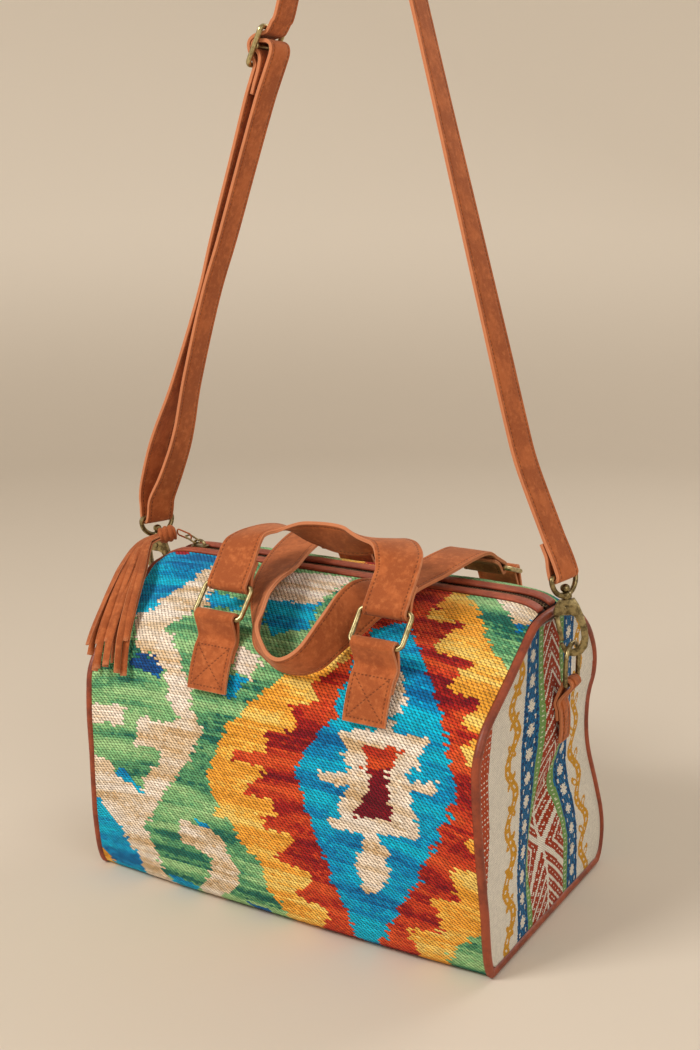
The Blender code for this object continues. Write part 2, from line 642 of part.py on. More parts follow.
def turned(bm, frame, profile, sides=14, axis='Z'):
    """Closed turned body of (radius, height) pairs about a frame's up or cross direction."""
    rings = []
    for r, h in profile:
        spots = [(r * math.cos(a), r * math.sin(a)) for a in np.arange(sides) * 2 * math.pi / sides]
        rings.append([hook_point(frame, c, s, h) if axis == 'Z' else hook_point(frame, c, h, s) for c, s in spots])
    loft(bm, rings)


PIN_HOLE = ((1.15, -4), (1.15, 4))
PIN = ((1.5, -3.3), (1.8, -2.8), (.85, -2.8), (.85, 2.8), (1.8, 2.8), (1.5, 3.3))
POST = ((2.0, 40), (2.0, 47.2), (2.6, 47.9), (3.3, 48.9), (3.5, 50.3), (3.1, 51.7), (2.0, 52.7), (.5, 53.1))


def build_hook(sign, word):
    """Swivel snap hook: bowl, slotted shoulder, post with ball, sprung gate on a pin, captive eye."""
    side = 0 if sign < 0 else 1
    frame = hook_frame(sign, HOOK_TURN[side])
    body = solid_of(word + "_hook", "antique_brass", plate, frame, HOOK_OUT, 2.4, 0.8, smooth=False)
    boolean(body, solid_of("post", "antique_brass", turned, frame, POST), 'UNION')
    slot = ((-13.0, 28.8), (1.9, 28.8), (1.9, 39.0), (-13.0, 39.0))
    boolean(body, solid_of("slot", "antique_brass", plate, frame, slot, 1.25, 0, smooth=False), 'DIFFERENCE')
    pivot = moved(frame, -1, 35.5)
    boolean(body, solid_of("pin_hole", "antique_brass", turned, pivot, PIN_HOLE, axis='Y'), 'DIFFERENCE')
    gate = solid_of(word + "_gate", "antique_brass", plate, frame, GATE_LEVER, 1.9, 0.55, smooth=False)
    tongue = tuple((-1 + 2.5 * math.cos(a), 35.5 + 2.5 * math.sin(a)) for a in np.radians((-80, -30, 20, 70, 120)))
    tongue += ((-8.0, 36.0), (-9.8, 33.0), (-10.0, 29.5), (-7.4, 29.5), (-4.3, 31.6))
    boolean(gate, solid_of("tongue", "antique_brass", plate, frame, tongue, 0.9, 0, smooth=False), 'UNION')
    boolean(gate, solid_of("gate_bore", "antique_brass", turned, pivot, PIN_HOLE, axis='Y'), 'DIFFERENCE')
    set_origin(gate, pivot[0])
    set_origin(body, frame[0])
    solid_of(word + "_gate_pin", "antique_brass", turned, pivot, PIN, axis='Y')
    build_eye(hook_frame(sign, EYE_TURN[side]), word)


def build_eye(frame, word):
    """Strap eye: straight bar above a round bow, with a collar that turns on the hook's post."""
    bar = [(11.9 + 3 * math.sin(a), EYE_BAR - 3 + 3 * math.cos(a)) for a in np.radians((0, 30, 60))]
    high = EYE_BAR - 3
    bow = [(EYE_HALF * math.cos(a), high - (high - EYE_LOW) * math.sin(a)) for a in np.radians(np.arange(0, 91, 15))]
    half = bar + bow
    loop = half + [(-x, z) for x, z in half[-2::-1]]
    pts = [hook_point(frame, x, 0, z) for x, z in loop]
    eye = solid_of(word + "_swivel_eye", "antique_brass", tube, pts, EYE_WIRE, frame[2], sides=8, loop=True)
    collar = ((3.4, 42.6), (4.1, 43.2), (4.1, 46.0), (3.4, 46.9))
    boolean(eye, solid_of("collar", "antique_brass", turned, frame, collar), 'UNION')
    boolean(eye, solid_of("collar_hole", "antique_brass", turned, frame, ((2.4, 40), (2.4, 50))), 'DIFFERENCE')


def strap_left(z):
    """Middle between both strands of the doubled left side."""
    eye = hook_point(hook_frame(-1), 0, 0, EYE_BAR)
    return np.interp(z, (eye.z, 0.290, 0.306, 0.325, 1.0), (eye.x, -0.1862, -0.1815, -0.1748, 0.0608))


def strap_right(z):
    eye = hook_point(hook_frame(1), 0, 0, EYE_BAR)
    return np.interp(z, (eye.z, 0.300, 0.330, 0.360, 1.0), (eye.x, 0.1655, 0.1525, 0.1418, -0.0393))


LEFT_TWIST = ((0.272, 0.31, 0.36), (-20.0, -11.0, 0.0))
RIGHT_TWIST = ((0.28, 0.40, 0.62, 0.70), (-12.0, -13.0, -1.0, 0.0))
HALF_GAP = ((0.290, 0.305, 0.330, 0.350, 0.371, 0.391, 0.434, 0.466, 0.50, 0.558, 0.600),
            (0.0085, 0.0106, 0.0116, 0.0100, 0.0070, 0.0050, 0.0025, 0.0019, 0.0034, 0.0040, 0.0048))


def strand(z, middle, off, twist):
    """Row of a strand: its point at height z, off from the middle line, and its broad direction."""
    a = math.radians(np.interp(z, *twist))
    return (middle(z) + off * math.cos(a), off * math.sin(a), z, -math.sin(a), math.cos(a), 0)


def local_slider(t, n):
    """Row by the strap slider in millimetres: t along its frame, n out of it."""
    c, s = math.cos(SLIDER_TILT) / 1000, math.sin(SLIDER_TILT) / 1000
    return (SLIDER_AT.x + t * s + n * c, 0.0, SLIDER_AT.z + t * c - n * s, 0, 1, 0)


def end_rows(sign, spots):
    """Rows round the bar of a strap eye, from (along, off) pairs."""
    side = 0 if sign < 0 else 1
    frame = hook_frame(sign, EYE_TURN[side])
    bar = np.array(hook_point(frame, 0, 0, EYE_BAR))
    slope = (0.14, -0.42)[side]
    wide = frame[1]
    along = np.array((slope, 0, 1.0))
    along -= wide * (along @ wide)
    along /= np.linalg.norm(along)
    off = np.cross(wide, along)
    return [(*(bar + along * a / 1000 + off * b / 1000), *wide) for a, b in spots]


def strap_rows():
    """Centre line and broad direction of the whole strap."""
    reach = (EYE_WIRE + 0.0004 + STRAP_T / 2) * 1000
    zs = HALF_GAP[0]
    rows = [local_slider(t, n) for t, n in FOLD_AT_BAR]
    rows += [strand(z, strap_left, np.interp(z, *HALF_GAP), LEFT_TWIST) for z in zs[:0:-1]]
    rows += end_rows(-1, ((18, 7.6), (8, 6.0), (2, 5.2), (-2.2, 3.4), (-reach, 0), (-2.2, -3.4), (2, -5.2), (8, -6.0),
                          (18, -7.6)))
    rows += [strand(z, strap_left, -np.interp(z, *HALF_GAP), LEFT_TWIST) for z in zs[1:]]
    rows += [local_slider(t, n) for t, n in THROUGH_SLIDER]
    rows += over_the_top()
    rows += [strand(z, strap_right, 0.0, RIGHT_TWIST) for z in (0.66, 0.60, 0.54, 0.48, 0.42, 0.375, 0.345)]
    rows += end_rows(1, ((36, 1.4), (26, 2.0), (17, 3.0), (8, 3.7)))
    rows += end_rows(1, [(reach * math.sin(a), reach * math.cos(a)) for a in np.radians((0, -36, -72, -108, -144, -180))])
    rows += end_rows(1, ((7, -2.6), (14, -0.9), (20, -1.1), (25, -1.5)))
    return np.array(rows, float)


FOLD_AT_BAR = ((-33, 9.9), (-24, 8.7), (-14.5, 7.8), (-7, 5.8), (-3.7, 2.2), (-3.0, -2.9), (0, -4.15), (3.0, -2.9),
               (4.2, .4), (5.4, 3.4), (6.4, 6.6), (5.4, 10.4), (1.0, 12.8), (-7, 13.5), (-20, 14.0))
THROUGH_SLIDER = ((-24, 4.8), (-14.5, 4.1), (-11.5, 2.7), (-5.6, -4.9), (0, -7.6), (5.6, -4.9), (11.5, 2.7),
                  (14.5, 4.1), (20, 4.8), (29, 5.4))


def over_the_top():
    """Plain round bend that joins both sides above the photographed part."""
    centre, radius = Vector((0.0009, 0, 0.692)), 0.045
    rows = []
    for ang in np.radians(np.linspace(160.8, 15.8, 9)):
        rows.append((centre.x + radius * math.cos(ang), 0, centre.z + radius * math.sin(ang), 0, 1, 0))
    return rows


def build_strap():
    rows = smooth_rows(strap_rows(), 2)
    solid_of("shoulder_strap", "suede", ribbon, rows[:, :3], rows[:, 3:], STRAP_W, STRAP_T)
    pts = []
    for t, w in rounded(SLIDER_HALF, 0.0152, 0.0034, 3):
        p = local_slider(t * 1000, 0)
        pts.append((p[0], w, p[2]))
    out = np.array(local_slider(0, 1)[:3]) - np.array(local_slider(0, 0)[:3])
    slider = solid_of("strap_slider", "pale_brass", tube, pts, SLIDER_WIRE, out, sides=8, loop=True)
    ends = [(SLIDER_AT.x, y, SLIDER_AT.z) for y in (-0.0152, 0.0152)]
    boolean(slider, solid_of("mid_bar", "pale_brass", tube, ends, BAR_WIRE, out, sides=8), 'UNION')


build_panel()
for sgn, side_name in ((-1, "left"), (1, "right")):
    build_gusset(sgn, side_name + "_gusset")
    solid_of(side_name + "_piping", "piping_leather", tube, edge_loop(sgn), PIPING_R, (1, 0, 0), sides=8, loop=True)
    build_d(sgn, side_name)
    build_hook(sgn, side_name)
build_zip()
build_zip_slider()
build_pull()
build_tassel()
build_handles()
build_strap()
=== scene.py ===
"""Looks of the boston bag: slub kilim wrap, dobby gussets, suede straps, brass hardware and studio."""
import sys

import logging
import math
from dataclasses import dataclass
from enum import Enum

import bmesh
import bpy
import numpy as np
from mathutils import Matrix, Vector

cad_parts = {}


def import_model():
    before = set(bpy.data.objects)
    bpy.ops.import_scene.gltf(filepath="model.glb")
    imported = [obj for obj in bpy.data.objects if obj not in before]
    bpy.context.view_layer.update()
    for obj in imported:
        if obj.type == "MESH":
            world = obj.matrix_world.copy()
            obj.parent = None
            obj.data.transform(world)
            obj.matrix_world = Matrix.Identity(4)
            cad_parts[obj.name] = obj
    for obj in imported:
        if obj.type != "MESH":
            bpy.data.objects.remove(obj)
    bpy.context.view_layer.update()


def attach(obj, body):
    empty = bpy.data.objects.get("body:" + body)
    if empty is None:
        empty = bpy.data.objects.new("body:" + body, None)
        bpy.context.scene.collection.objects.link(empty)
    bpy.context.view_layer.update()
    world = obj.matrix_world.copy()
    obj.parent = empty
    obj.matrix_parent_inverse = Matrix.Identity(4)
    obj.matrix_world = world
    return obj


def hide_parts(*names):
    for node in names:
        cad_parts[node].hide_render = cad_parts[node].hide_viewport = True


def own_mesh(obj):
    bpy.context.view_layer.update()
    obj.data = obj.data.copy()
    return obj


LOG = logging.getLogger("boston_bag")
Array = np.ndarray
Colour = tuple[float, float, float]
Piece = bpy.types.Object


class Slot(Enum):
    """Material slots."""

    KILIM = "kilim"
    DOBBY = "dobby"
    PIPING = "piping_leather"
    TRIM = "trim_leather"
    SUEDE = "suede"
    ZIP = "zip_cloth"
    ANTIQUE = "antique_brass"
    PALE = "pale_brass"


class Side(Enum):
    """Left or right end of the bag, with its sign along X."""

    LEFT = -1
    RIGHT = 1

    @property
    def word(self) -> str:
        """Return the word that node names use."""
        return self.name.lower()


class Stitching(Enum):
    """Where a suede piece is sewn."""

    NONE = 0
    EDGES = 1
    BOX = 2


# ---------------------------------------------------------------- numbers and curves


def linear(rgb: tuple[float, ...]) -> Colour:
    """Turn an sRGB colour from 0 to 255 into linear values."""
    c = np.asarray(rgb, float) / 255
    return tuple(float(v) for v in np.where(c <= 0.04045, c / 12.92, ((c + 0.055) / 1.055) ** 2.4))


def smooth_rows(rows: Array, per: int) -> Array:
    """Catmull-Rom rows through control rows, per new rows for each step.

    Args:
        rows: Control rows.
        per: New rows for each step.

    Returns:
        The finer rows.
    """
    rows = np.asarray(rows, float)
    full = np.vstack([2 * rows[0] - rows[1], rows, 2 * rows[-1] - rows[-2]])
    a, b, c, d = (part[:, None, :] for part in (full[:-3], full[1:-2], full[2:-1], full[3:]))
    t = (np.arange(per) / per)[None, :, None]
    out = 0.5 * (2 * b + (c - a) * t + (2 * a - 5 * b + 4 * c - d) * t**2 + (3 * b - a - 3 * c + d) * t**3)
    return np.vstack([out.reshape(-1, rows.shape[1]), rows[-1]])


def tangents(path: Array, loop: bool = False) -> Array:
    """Return unit directions along a path."""
    d = np.roll(path, -1, axis=0) - np.roll(path, 1, axis=0) if loop else np.gradient(path, axis=0)
    return d / np.linalg.norm(d, axis=1)[:, None]


def arc(path: Array) -> Array:
    """Return the length run along a path at each of its points."""
    return np.concatenate([[0.0], np.cumsum(np.linalg.norm(np.diff(path, axis=0), axis=1))])


def unit(v: Array) -> Array:
    """Return vectors scaled to length one."""
    v = np.asarray(v, float)
    return v / np.linalg.norm(v, axis=-1, keepdims=True)


def value_noise(x: Array, y: Array, seed: int) -> Array:
    """Smooth noise from 0 to 1: random values on a unit lattice, eased between its corners.

    Args:
        x: Places across the lattice.
        y: Places along the lattice.
        seed: Seed of the table.

    Returns:
        Noise by the shape of x and y.
    """
    table = np.random.default_rng(seed).random((61, 67))
    i, j = np.floor(x).astype(int), np.floor(y).astype(int)
    fx, fy = x - i, y - j
    fx, fy = fx * fx * (3 - 2 * fx), fy * fy * (3 - 2 * fy)

    def at(a: Array, b: Array) -> Array:
        """Look up the table, which repeats."""
        return table[a % 61, b % 67]

    low = at(i, j) * (1 - fx) + at(i + 1, j) * fx
    high = at(i, j + 1) * (1 - fx) + at(i + 1, j + 1) * fx
    return low * (1 - fy) + high * fy


def inside(poly: Array, x: Array, y: Array) -> Array:
    """Say for each point whether it lies in a polygon, by counting the edges to its right.

    Args:
        poly: Corners of the polygon.
        x: Places across.
        y: Places along.

    Returns:
        True for each point inside.
    """
    p, q = poly, np.roll(poly, -1, axis=0)
    crosses = (p[:, 1:] > y) != (q[:, 1:] > y)
    rise = (q[:, 1] - p[:, 1])[:, None]
    run = (q[:, 0] - p[:, 0])[:, None]
    at = p[:, :1] + (y - p[:, 1:]) * run / np.where(rise == 0, 1e-9, rise)
    return (crosses & (x < at)).sum(axis=0) % 2 == 1


# ---------------------------------------------------------------- meshes


@dataclass
class Surface:
    """Points and faces of one piece, with optional point and face data."""

    verts: Array
    faces: list[Array]
    uv: Array | None = None
    edge: Array | None = None

    @staticmethod
    def grid(n: int, m: int, wrap_n: bool = False, wrap_m: bool = False) -> Array:
        """Return the quads of an n by m grid of points, closed in either direction if asked."""
        i, j = np.meshgrid(np.arange(n if wrap_n else n - 1), np.arange(m if wrap_m else m - 1),
                           indexing="ij")
        i2, j2 = (i + 1) % n, (j + 1) % m
        return np.stack([i * m + j, i * m + j2, i2 * m + j2, i2 * m + j], axis=-1).reshape(-1, 4)

    def joined(self, other: "Surface") -> "Surface":
        """Return both surfaces as one."""
        shift = len(self.verts)
        uv = None if self.uv is None or other.uv is None else np.vstack([self.uv, other.uv])
        edge = None if self.edge is None or other.edge is None else np.concatenate([self.edge, other.edge])
        faces = self.faces + [f + shift for f in other.faces]
        return Surface(np.vstack([self.verts, other.verts]), faces, uv, edge)

    def build(self, name: str, material: bpy.types.Material, smooth: bool = True, fix: bool = True) -> Piece:
        """Make the object.

        Args:
            name: Name of the object.
            material: Its only material.
            smooth: Whether its faces are shaded smooth.
            fix: Whether its normals are turned outwards here.

        Returns:
            The new object, linked to the scene.
        """
        mesh = bpy.data.meshes.new(name)
        faces = [face for block in self.faces for face in np.atleast_2d(block).tolist()]
        mesh.from_pydata(self.verts.tolist(), [], faces)
        if fix:
            bm = bmesh.new()
            bm.from_mesh(mesh)
            bmesh.ops.recalc_face_normals(bm, faces=bm.faces)
            bm.to_mesh(mesh)
            bm.free()
        mesh.polygons.foreach_set("use_smooth", np.full(len(mesh.polygons), smooth))
        if self.uv is not None:
            index = np.zeros(len(mesh.loops), np.int32)
            mesh.loops.foreach_get("vertex_index", index)
            mesh.uv_layers.new(name="sheet").data.foreach_set("uv", self.uv[index].astype(np.float32).ravel())
        if self.edge is not None:
            mesh.attributes.new("edge", "FLOAT", "POINT").data.foreach_set("value",
                    self.edge.astype(np.float32))
        mesh.materials.append(material)
        obj = bpy.data.objects.new(name, mesh)
        bpy.context.scene.collection.objects.link(obj)
        return obj


def paint_faces(obj: Piece, name: str, colours: Array) -> None:
    """Store one linear colour per face as a colour attribute on the face's corners."""
    mesh = obj.data
    total = np.zeros(len(mesh.polygons), np.int32)
    mesh.polygons.foreach_get("loop_total", total)
    rgba = np.hstack([colours, np.ones((len(colours), 1))]).astype(np.float32)
    mesh.attributes.new(name, "FLOAT_COLOR", "CORNER").data.foreach_set("color",
            np.repeat(rgba, total, axis=0).ravel())


def tube(path: Array, radius: float | Array, ref: Array, sides: int = 20, loop: bool = True) -> Surface:
    """Round wire along a path: a circle of the given radius in the plane across each point's direction.

    Args:
        path: Points of the line.
        radius: Radius, one or one for each point.
        ref: Direction across the plane of the line.
        sides: Points of each circle.
        loop: Whether the line closes.

    Returns:
        The wire's surface.
    """
    path = np.asarray(path, float)
    t = tangents(path, loop)
    n1 = unit(np.cross(t, np.broadcast_to(np.asarray(ref, float), path.shape)))
    n2 = np.cross(t, n1)
    ang = np.arange(sides) * 2 * math.pi / sides
    radius = np.broadcast_to(radius, (len(path),))[:, None, None]
    ring = np.cos(ang)[None, :, None] * n1[:, None] + np.sin(ang)[None, :, None] * n2[:, None]
    verts = (path[:, None] + radius * ring).reshape(-1, 3)
    faces = [Surface.grid(len(path), sides, wrap_n=loop, wrap_m=True)]
    if not loop:
        faces += [np.arange(sides)[::-1], (len(path) - 1) * sides + np.arange(sides)]
    return Surface(verts, faces)


def turned(profile: Array, origin: Array, axes: tuple[Array, Array, Array], sides: int = 28,
           closed: bool = False) -> Surface:
    """Turned body: each radius and height of the profile is swung about the third axis.

    Args:
        profile: Radius and height of each point.
        origin: Foot of the axis.
        axes: Two directions across the axis and one along it.
        sides: Points of each circle.
        closed: Whether the profile closes.

    Returns:
        The body's surface.
    """
    ang = np.arange(sides) * 2 * math.pi / sides
    prof = np.asarray(profile, float)
    spin = np.cos(ang)[:, None] * axes[0] + np.sin(ang)[:, None] * axes[1]
    verts = origin + prof[:, :1, None] * spin[None] + prof[:, 1:, None] * np.asarray(axes[2])[None, None]
    faces = [Surface.grid(len(prof), sides, wrap_n=closed, wrap_m=True)]
    if not closed:
        faces += [np.arange(sides)[::-1], (len(prof) - 1) * sides + np.arange(sides)]
    return Surface(verts.reshape(-1, 3), faces)


def strap_section(width: float, thick: float) -> tuple[Array, Array]:
    """Section of a doubled strap: domed faces that dip at the seams, and a groove between both layers.

    Args:
        width: Full width in metres.
        thick: Full thickness in metres.

    Returns:
        The closed line of points across and out, and how much of each point is cut edge.
    """
    a, b = width / 2, thick / 2
    r = min(0.0007, b * 0.5)
    xs = np.array([a - r, a - 0.0024, a - 0.0031, a - 0.0039, a * 0.55, a * 0.25])
    dips = np.array([0.0, -0.00002, -0.00022, -0.00002, 0.0, 0.00006])
    top = [(x, b + d) for x, d in zip(xs, dips)] + [(0, b + 0.00007)] + [(-x, b + d) for x,
            d in zip(xs[::-1], dips[::-1])]
    side = [(-a + 0.3 * r, b - 0.25 * r), (-a, b - 0.9 * r), (-a, 0.22 * b), (-a + 0.0003, 0),
            (-a, -0.22 * b),
            (-a, -b + 0.9 * r), (-a + 0.3 * r, -b + 0.25 * r)]
    low = [(-x, -y) for x, y in top]
    other = [(-x, -y) for x, y in side]
    line = np.array(top + side + low + other)
    cut = np.concatenate([np.zeros(len(top)), np.ones(len(side)), np.zeros(len(low)), np.ones(len(other))])
    return line, cut


def ribbon(path: Array, wide: Array, width: float, thick: float) -> Surface:
    """Strap along a path: the section is set out along each row's broad direction and its normal.

    Args:
        path: Points of the line.
        wide: Broad direction of the strap.
        width: Width in metres.
        thick: Thickness in metres.

    Returns:
        The strap with its own UV and cut edges.
    """
    t = tangents(path)
    wide = np.broadcast_to(np.asarray(wide, float), path.shape)
    w = unit(wide - (wide * t).sum(axis=1)[:, None] * t)
    n = np.cross(t, w)
    line, cut = strap_section(width, thick)
    verts = path[:, None] + line[None, :, :1] * w[:, None] + line[None, :, 1:] * n[:, None]
    m = len(line)
    uv = np.stack([np.broadcast_to(line[:, 0], (len(path), m)),
                   np.broadcast_to(arc(path)[:, None], (len(path), m))], axis=-1)
    faces = [Surface.grid(len(path), m, wrap_m=True), np.arange(m)[::-1], (len(path) - 1) * m + np.arange(m)]
    edge = np.tile(cut, (len(path), 1))
    edge[[0, -1]] = 1.0
    return Surface(verts.reshape(-1, 3), faces, uv.reshape(-1, 2), edge.ravel())


def rounded(a: float, b: float, r: float, steps: int) -> Array:
    """Points of a rounded rectangle of half sizes a and b with corner radius r."""
    ang = np.radians(np.linspace(0, 90, steps + 1))
    corners = []
    for cx, cy, start in ((a - r, b - r, 0), (r - a, b - r, 90), (r - a, r - b, 180), (a - r, r - b, 270)):
        turn = ang + math.radians(start)
        corners.append(np.stack([cx + r * np.cos(turn), cy + r * np.sin(turn)], axis=1))
    return np.vstack(corners)


def refined(node: str, bevel: float) -> Piece:
    """Merge a copy of a CAD node's loose triangles and ease its edges.

    Args:
        node: Name of the CAD node.
        bevel: Width of the eased edge.

    Returns:
        The finished copy.
    """
    source = bpy.data.objects[node]
    bm = bmesh.new()
    bm.from_mesh(source.data)
    bmesh.ops.remove_doubles(bm, verts=bm.verts, dist=1e-5)
    bmesh.ops.dissolve_limit(bm, angle_limit=math.radians(2.0), verts=bm.verts, edges=bm.edges)
    mesh = bpy.data.meshes.new(node + "_fine")
    bm.to_mesh(mesh)
    bm.free()
    mesh.materials.clear()
    mesh.polygons.foreach_set("use_smooth", np.ones(len(mesh.polygons), bool))
    obj = bpy.data.objects.new(node + "_fine", mesh)
    bpy.context.scene.collection.objects.link(obj)
    mod = obj.modifiers.new("ease", "BEVEL")
    mod.width, mod.segments, mod.limit_method, mod.angle_limit = bevel, 2, "ANGLE", math.radians(28)
    mod.use_clamp_overlap = True
    mod.harden_normals = True
    return obj


def settle(obj: Piece, body: str, slot: Slot, *nodes: str) -> Piece:
    """Let a piece ride on a body and stand for CAD nodes, and report it.

    Args:
        obj: The piece.
        body: Body that it rides on.
        slot: Its material slot; not used.
        nodes: CAD nodes that it stands for.

    Returns:
        The same piece.
    """
    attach(obj, body)
    if nodes:
        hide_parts(*nodes)
    LOG.info("%s: %d faces on %s", obj.name, len(obj.data.polygons), body)
    return obj


# ---------------------------------------------------------------- shader nodes


class Nodes:
    """Adds nodes to one tree and links them."""

    def __init__(self, tree: bpy.types.NodeTree) -> None:
        """Keep the tree that is built."""
        self.tree = tree

    def feed(self, socket: bpy.types.NodeSocket, value: object) -> None:
        """Link a socket to another one or set its number or colour."""
        if isinstance(value, bpy.types.NodeSocket):
            self.tree.links.new(value, socket)
        elif isinstance(value, tuple) and len(value) == 3 and socket.type == "RGBA":
            socket.default_value = (*value, 1.0)
        else:
            socket.default_value = value

    def add(self, kind: str, inputs: dict | None = None, **props: object) -> bpy.types.Node:
        """Add a node with the given properties and inputs."""
        node = self.tree.nodes.new(kind)
        for key, value in props.items():
            setattr(node, key, value)
        for key, value in (inputs or {}).items():
            self.feed(node.inputs[key], value)
        return node

    def math(self, op: str, a: object, b: object = 0.0, c: object = 0.0,
             clamp: bool = False) -> bpy.types.NodeSocket:
        """Add a Math node and return its value."""
        node = self.add("ShaderNodeMath", operation=op, use_clamp=clamp)
        for socket, value in zip(node.inputs, (a, b, c)):
            self.feed(socket, value)
        return node.outputs[0]

    def mix(self, share: object, a: object, b: object, how: str = "MIX") -> bpy.types.NodeSocket:
        """Mix two colours."""
        node = self.add("ShaderNodeMix", data_type="RGBA", blend_type=how, clamp_factor=True)
        for socket, value in zip((node.inputs[0], node.inputs[6], node.inputs[7]), (share, a, b)):
            self.feed(socket, value)
        return node.outputs[2]

    def ramp(self, value: object, low: float, high: float,
             out: tuple[float, float] = (0.0, 1.0)) -> bpy.types.NodeSocket:
        """Map a value smoothly from one range to another."""
        node = self.add("ShaderNodeMapRange", interpolation_type="SMOOTHSTEP")
        for key, v in (("Value", value), ("From Min", low), ("From Max", high), ("To Min", out[0]),
                       ("To Max", out[1])):
            self.feed(node.inputs[key], v)
        return node.outputs[0]

    def noise(self, vector: object, scale: float, detail: float = 2.0,
              rough: float = 0.5) -> bpy.types.NodeSocket:
        """Add a noise texture and return its value."""
        return self.add("ShaderNodeTexNoise", {"Vector": vector, "Scale": scale, "Detail": detail,
                                               "Roughness": rough}).outputs[0]

    def scaled(self, vector: object, by: tuple[float, float, float]) -> bpy.types.NodeSocket:
        """Scale a vector along its axes."""
        node = self.add("ShaderNodeVectorMath", {0: vector, 1: by}, operation="MULTIPLY")
        return node.outputs[0]


@dataclass(frozen=True)
class GroupSpec:
    """Name and sockets of a shader node group."""

    name: str
    inputs: tuple[tuple[str, str, object], ...]
    outputs: tuple[tuple[str, str], ...]

    def open(self) -> tuple[bpy.types.NodeTree, Nodes, bpy.types.Node, bpy.types.Node]:
        """Make the empty group and return it with its helper, input node and output node."""
        tree = bpy.data.node_groups.new(self.name, "ShaderNodeTree")
        for label, kind, default in self.inputs:
            socket = tree.interface.new_socket(label, in_out="INPUT", socket_type=kind)
            if default is not None:
                socket.default_value = default
        for label, kind in self.outputs:
            tree.interface.new_socket(label, in_out="OUTPUT", socket_type=kind)
        nodes = Nodes(tree)
        return tree, nodes, nodes.add("NodeGroupInput"), nodes.add("NodeGroupOutput")


VECTOR, FLOAT, COLOR = "NodeSocketVector", "NodeSocketFloat", "NodeSocketColor"


